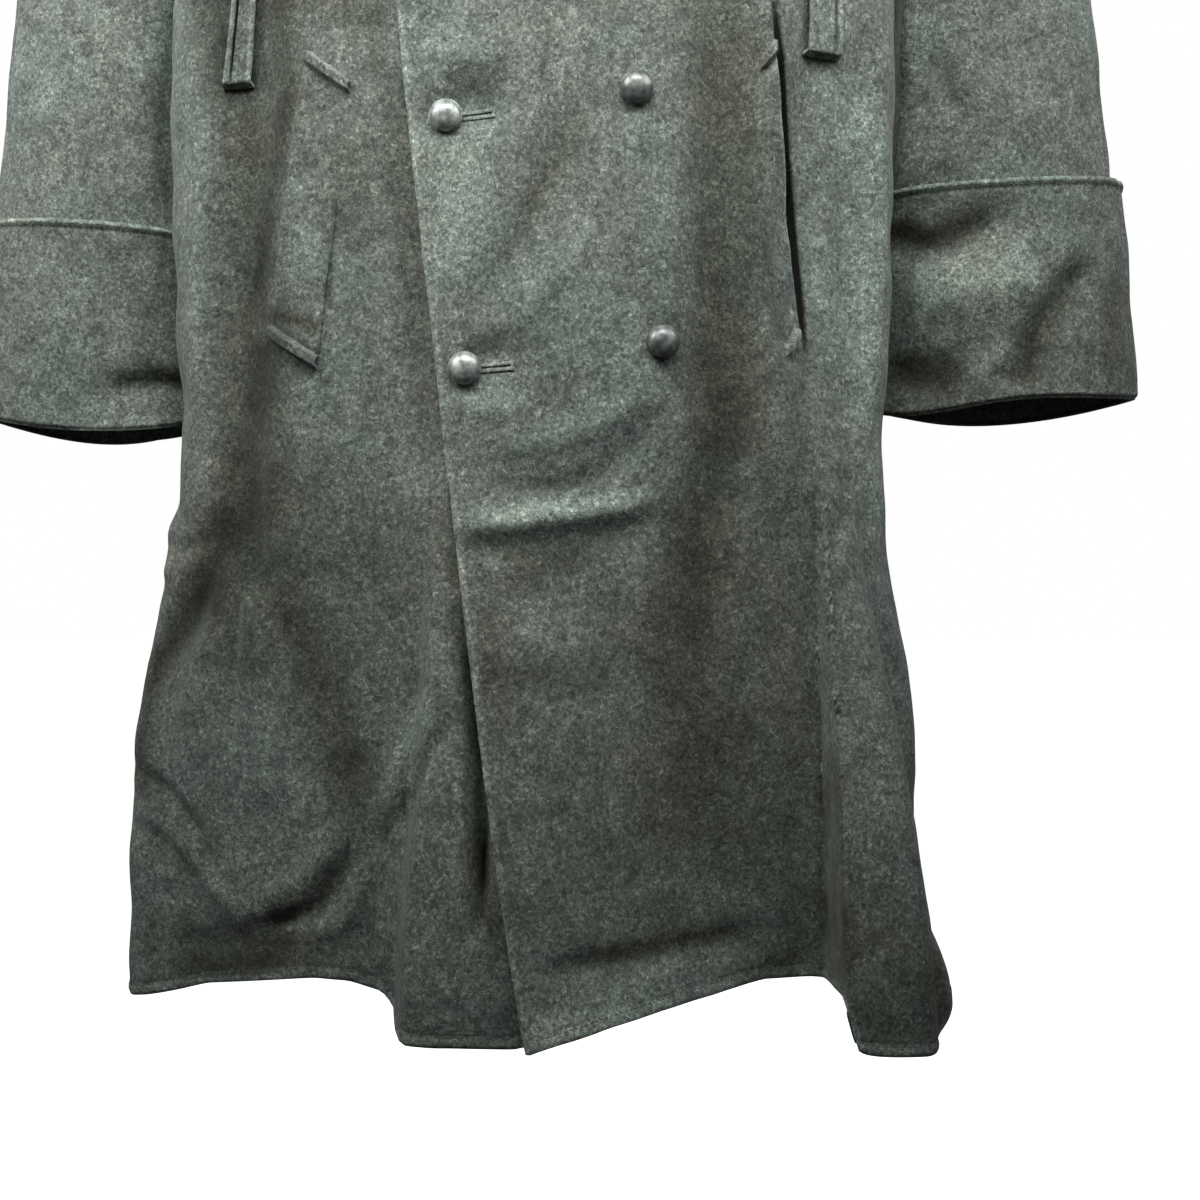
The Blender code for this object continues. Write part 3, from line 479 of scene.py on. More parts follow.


# Painted light and shade on the fronts: highlights on lit ridges and strips, shade in valleys, gaps, under
# buttons, welts and the collar, and towards the hem.
LEFT_PAINTED_LIGHT = read_painted_light(
    ("valley", 113, 683, 114, 478, 109, 300, 20.7, -0.30),
    ("valley foot", 106, 357, 103, 229, 100, 94, 28.6, -0.44),
    ("front by the edge", -44, 584, -50, 524, -56, 461, 26.7, 0.52),
    ("chest", 16, 508, 35, 464, 54, 395, 29.1, 0.20),
    ("hip fold", -44, 324, 10, 328, 70, 336, 10.1, 0.66),
    ("under the hip fold", -34, 304, 16, 307, 67, 316, 8.8, -0.40),
    ("hem band", -14, 9, 47, 23, 119, 29, 13.7, 0.40),
    ("side strip", 217, 635, 222, 476, 223, 301, 14.9, 0.42),
    ("ridge corner", 248, 51, 268, 5, 276, -35, 16.4, -0.52),
    ("lower skirt", 16, 218, 41, 149, 66, 85, 62.5, -0.16),
    ("ridge flank", 155, 403, 165, 248, 173, 77, 30.9, -0.22),
    ("belt loop", 187, 689, 187, 657, 189, 632, 19.2, 0.52),
    ("by the low button", -68, 409, -35, 408, -6, 403, 14, 0.46),
    ("button pull", 32, 584, 8, 540, -19, 484, 10.1, -0.32),
    ("hem tuck", 23, 50, 86, 53, 136, 55, 9.2, -0.34),
    ("ridge hem", 199, 30, 216, 8, 247, 2, 14.8, -0.36),
    ("front hollow", 44, 260, 67, 239, 87, 210, 11.5, -0.22),
    ("top button shade", -60, 596, -40, 603, -16, 599, 9.5, -0.50),
    ("low button shade", -46, 432, -30, 440, -12, 445, 7, -0.40),
    ("flap corner", 149, 35, 180, 51, 194, 88, 21.5, -0.38),
    ("pocket side", 141, 672, 139, 531, 136, 390, 10.6, -0.28),
    ("flank line", 190, 184, 191, 107, 193, 27, 4.7, -0.42),
    ("waist, right", 128, 418, 131, 390, 128, 357, 17.1, -0.30),
    ("left of the mouth", 151, 501, 155, 469, 159, 438, 7.8, -0.30),
    ("below the hip fold", -21, 277, 7, 294, 41, 304, 9.4, -0.34),
    ("valley right", 130, 209, 133, 151, 136, 79, 17.3, -0.24),
    ("ridge face", 223, 104, 225, 55, 228, 17, 16.2, -0.24),
    ("flap hem", 76, 26, 119, 29, 173, 36, 11.4, -0.34),
    ("flap edge", -31, 280, -25, 224, -17, 166, 14.9, -0.30),
    ("side strip, low", 225, 391, 227, 348, 229, 311, 7.8, 0.40),
    ("right of the pocket", 176, 585, 183, 507, 190, 447, 11.3, 0.32),
    ("under the loop", 194, 629, 202, 602, 206, 557, 19, 0.34),
    ("front right", 93, 586, 88, 516, 99, 446, 12.8, 0.24),
    ("waist right", 85, 414, 94, 386, 87, 347, 11.6, 0.24),
    ("flap edge low", -26, 157, -17, 109, -7, 64, 11, -0.24),
)
RIGHT_PAINTED_LIGHT = read_painted_light(
    ("valley", -187, 653, -186, 465, -189, 287, 21.8, -0.46),
    ("by the belt loop", -215, 689, -212, 650, -198, 597, 19.5, -0.60),
    ("top of the lap", -106, 655, -104, 632, -101, 606, 10.4, -0.30),
    ("lap left", -129, 177, -121, 147, -113, 118, 14.6, -0.30),
    ("knee drag", -206, 340, -222, 284, -262, 220, 18.6, -0.50),
    ("drag to the middle", -179, 313, -146, 225, -110, 151, 20.2, -0.46),
    ("skirt light", -185, 189, -176, 156, -165, 110, 24.9, 0.10),
    ("hem dark", -257, 26, -201, 31, -156, 43, 12.2, -0.58),
    ("sling light", -264, 125, -215, 81, -162, 81, 11.8, 0.25),
    ("beside the overlap", -91, 644, -80, 497, -63, 370, 14.2, -0.26),
    ("overlap swell", -64, 217, -85, 165, -96, 122, 9.1, 0.42),
    ("side strip", -230, 593, -227, 473, -228, 354, 9.1, 0.12),
    ("knee hollow", -221, 294, -204, 258, -180, 215, 24.8, -0.36),
    ("under the collar", -167, 675, -163, 629, -159, 577, 12.2, -0.40),
    ("skirt side", -255, 254, -269, 199, -274, 144, 11, -0.60),
    ("sling", -271, 153, -242, 119, -213, 93, 8.4, -0.45),
    ("sling bottom", -162, 59, -131, 79, -116, 106, 8.7, -0.18),
    ("overlap gap", -34, 131, -29, 95, -25, 58, 6.2, -0.50),
    ("overlap crease", -34, 205, -31, 144, -35, 74, 3.1, -0.80),
    ("lower left", -272, 12, -176, 33, -87, 37, 34.7, -0.16),
    ("left thigh", -195, 346, -133, 319, -67, 280, 33.5, -0.32),
    ("welt foot", -177, 463, -157, 455, -138, 447, 6.1, -0.60),
    ("beside the overlap, low", -59, 341, -53, 309, -47, 271, 8, -0.36),
    ("overlap gap, top", -40, 240, -36, 212, -32, 168, 5, -0.60),
    ("upper left", -212, 682, -152, 667, -96, 654, 20.2, -0.40),
    ("front of the right", -117, 581, -122, 530, -129, 499, 22.3, -0.24),
    ("below the welt", -180, 452, -175, 420, -182, 385, 18.1, -0.36),
    ("left of the welt", -159, 619, -172, 540, -189, 462, 7.6, -0.34),
    ("welt face", -143, 504, -151, 487, -158, 467, 12.1, 0.28),
)
# Painted light and shade on the sleeves and cuffs.
SLEEVE_PAINTED_LIGHT = read_painted_light(
    ("left cuff tuck", 253, 550, 277, 535, 322, 554, 13.2, -0.40),
    ("left cuff bulge", 259, 488, 300, 490, 361, 508, 23.2, 0.76),
    ("left cuff corner", 254, 447, 275, 434, 302, 431, 15.1, -0.72),
    ("left cuff drag", 387, 501, 359, 478, 347, 450, 15.1, -0.48),
    ("left cuff side", 406, 511, 413, 469, 409, 429, 15.6, -0.40),
    ("right cuff tuck", -311, 428, -281, 434, -228, 430, 10, -0.30),
    ("right cuff edge", -336, 408, -294, 410, -233, 402, 9.4, 0.30),
    ("right sleeve", -314, 706, -317, 590, -318, 416, 79.3, 0.14),
    ("left cuff drag foot", 349, 457, 346, 443, 337, 425, 12.8, -0.62),
    ("left cuff band", 334, 450, 319, 434, 303, 423, 6.8, 0.30),
    ("left sleeve inner", 261, 699, 262, 634, 261, 576, 13.4, 0.28),
)
MOUTH_SHADE = POCKET_MOUTH._replace(width=0.0018, depth=-2.2)  # painted shade: the dark inside of the open pocket


# Painted light and shade: the marks' tones, and darker in the creases' troughs and lighter on their ridges.
def painted_light_tone(marks, creases, x, height):
    lines = [Crease(*mark) for mark in marks]
    return crease_depth(lines, x, height) + SHADE_BY_RELIEF * crease_depth(creases, x, height)


def paint_light_and_wear(piece, marks=(), creases=(), edges=()):
    """Keeps the tone of each point: painted light and shade from marks and creases on what faces the front,
    and a lighter band along edges, edge wear with a painted highlight.
    """
    place, normal = np.empty((2, len(piece.data.vertices), 3), dtype=np.float32)
    piece.data.vertices.foreach_get("co", place.ravel())
    piece.data.vertices.foreach_get("normal", normal.ravel())
    tone = painted_light_tone(marks, creases, place[:, 0].astype(float), place[:, 2].astype(float) + HOLD_HEIGHT)
    tone = tone * ramp((FACING_END - normal[:, 1]) / FACING_FADE)
    for edge in edges:
        away = np.array([np.linalg.norm(edge - spot, axis=1).min() for spot in place])
        tone = tone + EDGE_WEAR_AND_HIGHLIGHT_TONE * (1 - ramp((away - EDGE_WEAR_AND_HIGHLIGHT_WIDTH) / EDGE_WEAR_AND_HIGHLIGHT_WIDTH))
    kept = piece.data.attributes.new("rub", "FLOAT", "POINT")
    kept.data.foreach_set("value", tone.astype(np.float32))
    print(piece.name, "tones from", round(float(tone.min()), 2), "to", round(float(tone.max()), 2))


print(len(LEFT_PAINTED_LIGHT) + len(RIGHT_PAINTED_LIGHT) + len(SLEEVE_PAINTED_LIGHT), "rub marks")

# %% [markdown]
# ## Cutting cloth
# A cloth piece starts as a plane of many small squares, as a roll of cloth is a flat weave. Its points
# are moved onto the surface, and a Solidify modifier gives the thickness. Edges are turned in and
# stitched on the real coat, which makes a raised band with a groove, and seams pull the cloth in along a
# line. Both are added to the points by their distance from the edge, so rows and columns are closer
# together there. A cloth simulation could drape the panels, but its folds would not be those of the
# photo.

# %% Helpers for cloth
HEM_TURN, HEM_RAISE, HEM_FADE = 0.0072, 0.0008, 0.002
STITCH_DEPTH, STITCH_WIDTH = 0.0011, 0.0014
EDGE_ROUND, ROUND_WIDTH = 0.0009, 0.0022
SEAM_DIP, SEAM_WIDTH = 0.0013, 0.0045
CORNER_ANGLE, SMOOTH_ANGLE = math.radians(62), math.radians(60)
SEAM_FINE = 0.0048  # fine rows and columns beside a seam
sheets = {}


def spaced(length, step, first=0.0, last=0.0, fine=0.0012):
    """Shares of a length one step apart, with fine steps over its first and last stretch."""
    middle = np.linspace(first, length - last, max(2, round((length - first - last) / step) + 1))
    start, end = np.arange(0, first - fine / 2, fine), length - np.arange(0, last - fine / 2, fine)
    return np.unique(np.round(np.concatenate([start, middle, end]) / length, 7))


def run_along(place, axis):
    """Length along the cloth from its first row or column."""
    steps = np.linalg.norm(np.diff(place, axis=axis), axis=-1)
    start = np.zeros_like(np.take(steps, [0], axis=axis))
    return np.concatenate([start, np.cumsum(steps, axis=axis)], axis=axis)


def from_end(place, axis):
    run = run_along(place, axis)
    return np.take(run, [-1], axis=axis) - run


def turned_edge(away, width=HEM_TURN, rise=HEM_RAISE):
    """A raised band along an edge, with a stitched groove behind it."""
    band = rise * (1 - ramp((away - width) / HEM_FADE))
    groove = STITCH_DEPTH * bell(away - width, STITCH_WIDTH)
    return band - groove - EDGE_ROUND * (1 - ramp(away / ROUND_WIDTH))


def seam(away):
    """Seams pull the cloth in."""
    return -SEAM_DIP * (1 - ramp(away / SEAM_WIDTH))


def side_seams(place):
    return seam(run_along(place, 1)) + seam(from_end(place, 1))


def hang(piece, *nodes, slot=WOOL_SLOT):
    """Every piece rides on the coat's one body and hides the CAD nodes it replaces, where it has any."""
    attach(piece, BODY)
    if nodes:
        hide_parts(*nodes)
    return piece


def cut_cloth(name, place, thickness=CLOTH, round_edge=0.0006):
    """A sheet with its outer face on these points, rows by columns."""
    rows, columns = place.shape[:2]
    bpy.ops.object.select_all(action="DESELECT")
    bpy.ops.mesh.primitive_grid_add(x_subdivisions=columns - 1, y_subdivisions=rows - 1, size=1)
    piece = bpy.context.object
    piece.name = piece.data.name = name
    piece.data.vertices.foreach_set("co", np.ascontiguousarray(place, dtype=np.float32).ravel())
    piece.data.update()
    wall = piece.modifiers.new("thickness", "SOLIDIFY")
    wall.thickness, wall.offset = thickness, -1
    bpy.ops.object.modifier_apply(modifier=wall.name)
    if round_edge:
        edge = piece.modifiers.new("edge", "BEVEL")
        edge.width, edge.segments = round_edge, 2
        edge.limit_method, edge.angle_limit = "ANGLE", CORNER_ANGLE
        bpy.ops.object.modifier_apply(modifier=edge.name)
    bpy.ops.object.shade_smooth_by_angle(angle=SMOOTH_ANGLE)
    piece.data.materials.append(wool)
    return piece


def lay_out(piece, place):
    """Says how large the piece was as flat cloth: its longest row by its longest column, and its area."""
    width, length = run_along(place, 1)[:, -1].max(), run_along(place, 0)[-1].max()
    a, b = place[1:, 1:] - place[:-1, :-1], place[:-1, 1:] - place[1:, :-1]
    area = min(float(np.linalg.norm(np.cross(a, b), axis=-1).sum() / 2), float(width * length))
    sheets[piece.name] = (round(float(width), 3), round(float(length), 3), round(area, 4))
    print(piece.name, len(piece.data.polygons), "faces, flat", sheets[piece.name])


print("a turned edge is raised", HEM_RAISE * 1000, "mm over", HEM_TURN * 1000, "mm")

# %% [markdown]
# ## The wool
# Milled wool is spun from dyed fibres in several greys and greens, then felted. Close up it is a mottle
# of light flecks on a dark ground, a millimetre or two long, with softer patches where the nap is rubbed.
# Noise textures in the coat's own coordinates make flecks, patches and a slow drift between greenish and
# brownish grey. Bump raises the fibres. A picture of cloth could be wrapped round the panels, but noise
# in space has no joins.


# %% Wool finish
def add_node(tree, kind, **values):
    """A node with these values in its sockets or settings."""
    node = tree.nodes.new(kind)
    for name, value in values.items():
        if name in node.inputs:
            node.inputs[name].default_value = value
        else:
            setattr(node, name, value)
    return node


def add_ramp(tree, source, stops):
    """A colour ramp over source, from (place, colour) stops."""
    node = tree.nodes.new("ShaderNodeValToRGB")
    while len(node.color_ramp.elements) < len(stops):
        node.color_ramp.elements.new(0.5)
    for element, (place, colour) in zip(node.color_ramp.elements, stops):
        element.position, element.color = place, (*colour, 1)
    tree.links.new(source, node.inputs["Fac"])
    return node.outputs["Color"]


def multiply_colours(tree, first, second):
    node = tree.nodes.new("ShaderNodeMix")
    node.data_type, node.blend_type = "RGBA", "MULTIPLY"
    node.inputs["Factor"].default_value = 1.0
    tree.links.new(first, node.inputs["A"])
    tree.links.new(second, node.inputs["B"])
    return node.outputs["Result"]


def new_finish(name):
    """A material with its tree, its shader and the coat's own coordinates."""
    material = bpy.data.materials.new(name)
    material.use_nodes = True
    tree = material.node_tree
    where = tree.nodes.new("ShaderNodeTexCoord").outputs["Object"]
    return material, tree, tree.nodes["Principled BSDF"], where


def grey(value):
    return (value, value, value)


def make_wool(name, light=1.0):
    """Flecked wool with a nap, softer patches and a drift of colour, lighter or darker by its painted light
    and shade and edge wear.
    """
    material, tree, shader, where = new_finish(name)

    def noise(scale, detail, distortion=0.0, stretch=None):
        node = add_node(tree, "ShaderNodeTexNoise", Scale=scale, Detail=detail, Roughness=0.6)
        node.inputs["Distortion"].default_value = distortion
        source = where
        if stretch:
            mapping = add_node(tree, "ShaderNodeMapping", Scale=stretch)
            tree.links.new(where, mapping.inputs["Vector"])
            source = mapping.outputs["Vector"]
        tree.links.new(source, node.inputs["Vector"])
        return node.outputs["Fac"]

    flecks = noise(390, 3, 0.9)
    fibres = noise(900, 2, 0.6, (1, 1, 0.5))
    colour = add_ramp(tree, flecks, [
        (0.30, tuple(light * v for v in (0.043, 0.049, 0.044))),
        (0.48, tuple(light * v for v in (0.092, 0.104, 0.093))),
        (0.60, tuple(light * v for v in (0.140, 0.156, 0.141))),
        (0.74, tuple(light * v for v in (0.260, 0.280, 0.252)))])
    nap = add_ramp(tree, fibres, [(0.25, grey(0.72)), (0.5, grey(0.98)), (0.75, grey(1.3))])
    patches = add_ramp(tree, noise(62, 3, 0.5), [(0.3, grey(0.72)), (0.5, grey(1.0)), (0.72, grey(1.26))])
    drift = add_ramp(tree, noise(11, 3), [(0.38, (0.96, 1.01, 1.0)), (0.62, (1.02, 0.99, 0.95))])
    rub = add_node(tree, "ShaderNodeAttribute", attribute_name="rub")
    scaled = add_node(tree, "ShaderNodeMath", operation="MULTIPLY_ADD")
    tree.links.new(rub.outputs["Fac"], scaled.inputs[0])
    scaled.inputs[1].default_value = scaled.inputs[2].default_value = 0.5
    # the attribute as a colour factor: painted shade down to near black, painted highlight up to twice as
    # light, with edge wear
    wear = add_ramp(tree, scaled.outputs[0], [(0.0, grey(0.01)), (0.1, (0.205, 0.195, 0.165)),
                                              (0.3, (0.61, 0.59, 0.54)), (0.5, grey(1.0)),
                                              (0.75, (1.47, 1.53, 1.50)), (1.0, (1.95, 2.06, 2.00))])
    mottle = add_ramp(tree, noise(165, 3, 1.4), [(0.32, grey(0.68)), (0.5, grey(1.0)), (0.68, grey(1.34))])
    for factor in (nap, patches, mottle, drift, wear):
        colour = multiply_colours(tree, colour, factor)
    tree.links.new(colour, shader.inputs["Base Color"])
    shader.inputs["Roughness"].default_value = 0.95
    shader.inputs["Specular IOR Level"].default_value = 0.15
    shader.inputs["Sheen Weight"].default_value = 0.12
    shader.inputs["Sheen Roughness"].default_value = 0.5
    shader.inputs["Sheen Tint"].default_value = (0.80, 0.86, 0.80, 1)
    felt = add_node(tree, "ShaderNodeBump", Strength=0.55, Distance=0.0012)
    tree.links.new(flecks, felt.inputs["Height"])
    fuzz = add_node(tree, "ShaderNodeBump", Strength=0.45, Distance=0.0006)
    tree.links.new(fibres, fuzz.inputs["Height"])
    tree.links.new(felt.outputs["Normal"], fuzz.inputs["Normal"])
    tree.links.new(fuzz.outputs["Normal"], shader.inputs["Normal"])
    return material


wool = make_wool("milled_wool")
print("made", wool.name, "with", len(wool.node_tree.nodes), "nodes")

# %% [markdown]
# ## Fronts and back
# Each front is one panel from hem to shoulder. The left one closes over the right one, so its face stands
# off by the cloth under it, and its skirt edge stands off more. Under it the right front takes the same
# creases, or it would poke through. The back is two panels joined by a centre seam. The photo doesn't
# show it, so it is finished plainly. All of this could be one closed tube, but real panels end at their
# seams, so a hair's gap stays there, and a tape behind each long seam keeps the light out.

# %% Rows and columns of the body panels
CHEST_RUN, LEFT_RUN, RIGHT_RUN, BACK_RUN = 0.30, 0.36, 0.47, 0.36  # rough lengths along the panels
RIDGE_COLUMNS = np.linspace(0.505, 0.64, 62)  # more columns over the steep side ridge
rows_up = np.concatenate([spaced(UNDERARM, 0.0031, first=0.0156), 1 + spaced(CHEST_RUN, 0.0046)[1:]])
left_columns = spaced(LEFT_RUN, 0.0030, first=0.0096, last=SEAM_FINE)
left_columns = np.unique(np.concatenate([left_columns, RIDGE_COLUMNS]))
right_columns = spaced(RIGHT_RUN, 0.0038, first=SEAM_FINE)
back_columns = spaced(BACK_RUN, 0.0036, first=SEAM_FINE, last=SEAM_FINE)
print(len(rows_up), "rows,", len(left_columns), len(right_columns), len(back_columns), "columns")


# %% Left front
EDGE_ROLL, ROLL_START, ROLL_FADE, ROLL_ROUND = 0.0014, 0.003, 0.004, 0.0016


def panel(surface, columns, rows):
    """Places and normals of a panel's points, and the row that each is in."""
    column, row = np.meshgrid(columns, rows)
    return surface(column, row), normals(surface, column, row), row


place, normal, row = panel(left_front_surface, left_columns * (1 - SIDE_SEAM), rows_up)
share_up = np.sin(np.clip(row - 1, 0, 1) * math.pi / 2)
height = np.minimum(place[..., 2] + HOLD_HEIGHT, UNDERARM)
from_edge = run_along(place, 1)
edge_roll = EDGE_ROLL * (1 - ramp((from_edge - ROLL_START) / ROLL_FADE))
edge_roll = edge_roll - EDGE_ROUND * (1 - ramp(from_edge / ROLL_ROUND))
mouth = crease_depth((POCKET_MOUTH,), place[..., 0], place[..., 2] + HOLD_HEIGHT)
out = layer(place[..., 0], height, share_up) + front_relief(place) + mouth
out = out + turned_edge(run_along(place, 0)) + edge_roll + seam(from_end(place, 1)) + seam(from_end(place, 0))
left_face = place + normal * out[..., None]
left_cloth = hang(cut_cloth("left_front_cloth", left_face), "left_front", "left_chest")
lay_out(left_cloth, left_face)
paint_light_and_wear(left_cloth, LEFT_PAINTED_LIGHT + (MOUTH_SHADE,), LEFT_CREASES, [left_face[:, 0], left_face[0]])

# %% Right front
place, normal, row = panel(right_front_surface, between(SIDE_SEAM, 1, right_columns), rows_up)
gap = crease_depth((OVERLAP_GAP,), place[..., 0], place[..., 2] + HOLD_HEIGHT)
out = front_relief(place) + gap + turned_edge(run_along(place, 0)) + seam(run_along(place, 1))
out = out + seam(from_end(place, 0))
right_face = place + normal * out[..., None]
right_cloth = hang(cut_cloth("right_front_cloth", right_face), "right_front", "right_chest")
lay_out(right_cloth, right_face)
paint_light_and_wear(right_cloth, RIGHT_PAINTED_LIGHT, RIGHT_CREASES, [right_face[0]])

# %% Back
BACK_START, BACK_BLEND, BACK_RIPPLE = 0.01, 0.07, 1.6


def back_relief(place):
    """Creases of the fronts that run on past the side seams and fade, and the back's own ripple."""
    share = ramp((place[..., 1] - BACK_START) / BACK_BLEND)
    return between(front_relief(place), BACK_RIPPLE * ripple(place), share)


back_faces = {}
for side, first in (("left", 0.0), ("right", 0.5)):
    columns = first + between(SIDE_SEAM, 1 - SIDE_SEAM, back_columns) / 2
    place, normal, row = panel(back_surface, columns, rows_up)
    out = back_relief(place) + turned_edge(run_along(place, 0)) + seam(from_end(place, 0))
    out = out + side_seams(place)
    back_faces[side] = place + normal * out[..., None]
    back_cloth = hang(cut_cloth(f"back_{side}_cloth", back_faces[side]), f"back_{side}", f"back_yoke_{side}")
    lay_out(back_cloth, back_faces[side])

# %% Seam tapes
TAPE_WIDTH, TAPE, TAPE_GAP, TAPE_COLUMNS = 0.016, 0.0008, 0.0004, 13
BACK_WIDTH = 0.72  # from side seam to side seam
SeamTape = namedtuple("SeamTape", "name middle last_row panel")
SEAM_TAPES = (
    SeamTape("side_left", 0.0, 0.995, "back_left_cloth"),
    SeamTape("centre_back", 0.5, 1.97, "back_left_cloth"),
    SeamTape("side_right", 1.0, 0.995, "back_right_cloth"),
)
for strip in SEAM_TAPES:
    columns = strip.middle + np.linspace(-0.5, 0.5, TAPE_COLUMNS) * TAPE_WIDTH / BACK_WIDTH
    place, normal, row = panel(back_surface, columns, rows_up[rows_up < strip.last_row])
    run = run_along(place, 1)
    from_seam = np.abs(run - run[:, TAPE_COLUMNS // 2, None])
    out = back_relief(place) + turned_edge(run_along(place, 0)) + seam(from_seam)
    face = place + normal * (out - CLOTH - TAPE_GAP)[..., None]
    tape = hang(cut_cloth(f"{strip.name}_tape", face, TAPE, 0))
    lay_out(tape, face)

# %% [markdown]
# ## Lapels and collar
# A lapel is the top of the front folded back along the roll line. Here it is a sheet that starts under
# the edge, rolls over it and lies on the chest. The collar is a stand that rises from the neck seam and a
# leaf that folds down over it. It could be a strip bent by a modifier, but it has to follow the neck, so
# it starts as a few lines on the CAD's own curves, with smooth rows between them.

# %% Lapels
LAPEL_WIDTH, LAPEL_TOP, LAPEL_FULL, LAPEL_LIFT = 0.105, 0.76, 0.70, 0.0012
LAPEL_ROWS, LAPEL_COLUMNS, LAPEL_TAPER, LAPEL_TURN = 70, 44, 0.9, 0.006
LAPEL_GAP, HIDDEN_GAP, LAPEL_RIPPLE = 0.0007, 0.004, 0.5
ROLL_RISE, ROLL_PLACE, ROLL_REACH = 0.004, 0.10, 0.13  # the cloth stands up where it rolls over
TUCK, TUCK_REACH = 0.0042, 0.045  # and dips under the edge


def face_normals(face):
    """Outward normals of a sheet's points."""
    out = np.cross(np.gradient(face, axis=1), np.gradient(face, axis=0))
    return out / np.linalg.norm(out, axis=-1, keepdims=True)


def lapel_face(sign, first_turn):
    """Points of a lapel, from the roll line outwards. The left front hides part of the right one."""
    turn = np.linspace(first_turn, math.asin(LAPEL_TOP), LAPEL_ROWS)[:, None]
    share = np.linspace(0, 1, LAPEL_COLUMNS)[None]
    width = LAPEL_WIDTH * np.minimum(np.sin(turn) / LAPEL_FULL, 1) ** LAPEL_TAPER
    if sign > 0:
        low, high = roll_line(turn), roll_line(turn) + width
    else:
        roll = -between(-UNDERLAP, NECK_X, np.sin(turn))
        low, high = roll - width, np.minimum(roll, roll_line(turn) - HIDDEN_GAP)
    x = between(low, high, share)
    place = upper_body(x, turn + 0 * share, "front")
    lift = LAPEL_LIFT + CLOTH + LAPEL_GAP
    if sign > 0:
        lift = lift + layer(x, UNDERARM, np.sin(turn)) + ROLL_RISE * bell(share - ROLL_PLACE, ROLL_REACH)
        lift = lift - TUCK * (1 - ramp(share / TUCK_REACH))
    free = from_end(place, 1) if sign > 0 else run_along(place, 1)
    lift = lift + turned_edge(np.minimum(free, from_end(place, 0)), LAPEL_TURN)
    return place + face_normals(place) * (lift + ripple(place) * LAPEL_RIPPLE)[..., None]


for side, sign, first_turn in (("left", 1, 0.06), ("right", -1, 0.43)):
    face = lapel_face(sign, first_turn)
    lapel = hang(cut_cloth(f"lapel_{side}_cloth", face), f"lapel_{side}")
    lay_out(lapel, face)

# %% Collar
COLLAR_START, LEAF_CLEAR = 0.81, 0.0095
STAND_BACK, STAND_FRONT = 0.044, 0.010
LEAF_START, LEAF_BACK, LEAF_FRONT = 0.007, 0.074, 0.062
STAND_LEAST, STAND_GROWTH, FOLD_SHARE = 0.004, 0.003, 1.1
StandLine = namedtuple("StandLine", "out up")
STAND_LINES = (StandLine(0.0, 0.004), StandLine(-0.001, 0.5), StandLine(0.001, 1.0))
LeafLine = namedtuple("LeafLine", "part rise")
LEAF_LINES = (LeafLine(0.20, 0.55), LeafLine(0.42, 0.22), LeafLine(0.70, 0.05), LeafLine(1.0, 0.0))
LINE_POINTS, REACH_STEPS, COLLAR_ROWS, COLLAR_COLUMNS = 49, 75, 50, 180
COLLAR_TURN, COLLAR_RIPPLE = 0.006, 0.4


def body_top(x, y):
    depth = np.where(y < 0, body_depth(x, "front"), body_depth(x, "back"))
    return UNDERARM + (shoulder_line(x) - UNDERARM) * np.sqrt(1 - np.clip(np.abs(y) / depth, 0, 1) ** 2)


def neckline(share, reach):
    """Plan of a line outside the neck seam, from the right front (-1) round the back (0) to the left (1)."""
    behind = np.clip(np.abs(share), 0, 0.5) * math.pi
    out_x, out_y = np.sin(behind) / NECK_X, np.cos(behind) / NECK_BACK
    size = np.hypot(out_x, out_y)
    turn = between(math.pi / 2, math.asin(COLLAR_START), np.clip(np.abs(share) * 2 - 1, 0, 1))
    front_x = roll_line(turn) + reach
    front_y = -body_depth(front_x, "front") * np.cos(turn)
    is_back = np.abs(share) < 0.5
    x = np.where(is_back, NECK_X * np.sin(behind) + out_x / size * reach, front_x)
    y = np.where(is_back, NECK_BACK * np.cos(behind) + out_y / size * reach, front_y)
    return np.sign(share) * x, y


def reach_over(share, length):
    """How far outside the neck seam a line is that has run this length over the body."""
    reaches = np.linspace(0, LEAF_BACK, REACH_STEPS)[:, None]
    x, y = neckline(share, reaches)
    steps = np.linalg.norm(np.diff(points(x, y, body_top(x, y)), axis=0), axis=-1)
    run = np.concatenate([np.zeros((1, len(share))), np.cumsum(steps, axis=0)])
    return np.array([np.interp(end, line, reaches[:, 0]) for end, line in zip(length, run.T)])


def smooth_curve(t, start, leave, end, arrive):
    """A place between start and end on a curve with these directions at its ends."""
    first = (1 + 2 * t) * (1 - t) ** 2 * start + t * (1 - t) ** 2 * leave
    return first + t**2 * (3 - 2 * t) * end + t**2 * (t - 1) * arrive


def smooth_rows(coarse, count):
    """More rows on a smooth curve through these rows."""
    t = np.linspace(0, len(coarse) - 1, count)
    index = np.clip(t.astype(int), 0, len(coarse) - 2)
    slopes = np.gradient(coarse, axis=0)
    t = (t - index)[:, None, None]
    return smooth_curve(t, coarse[index], slopes[index], coarse[index + 1], slopes[index + 1])


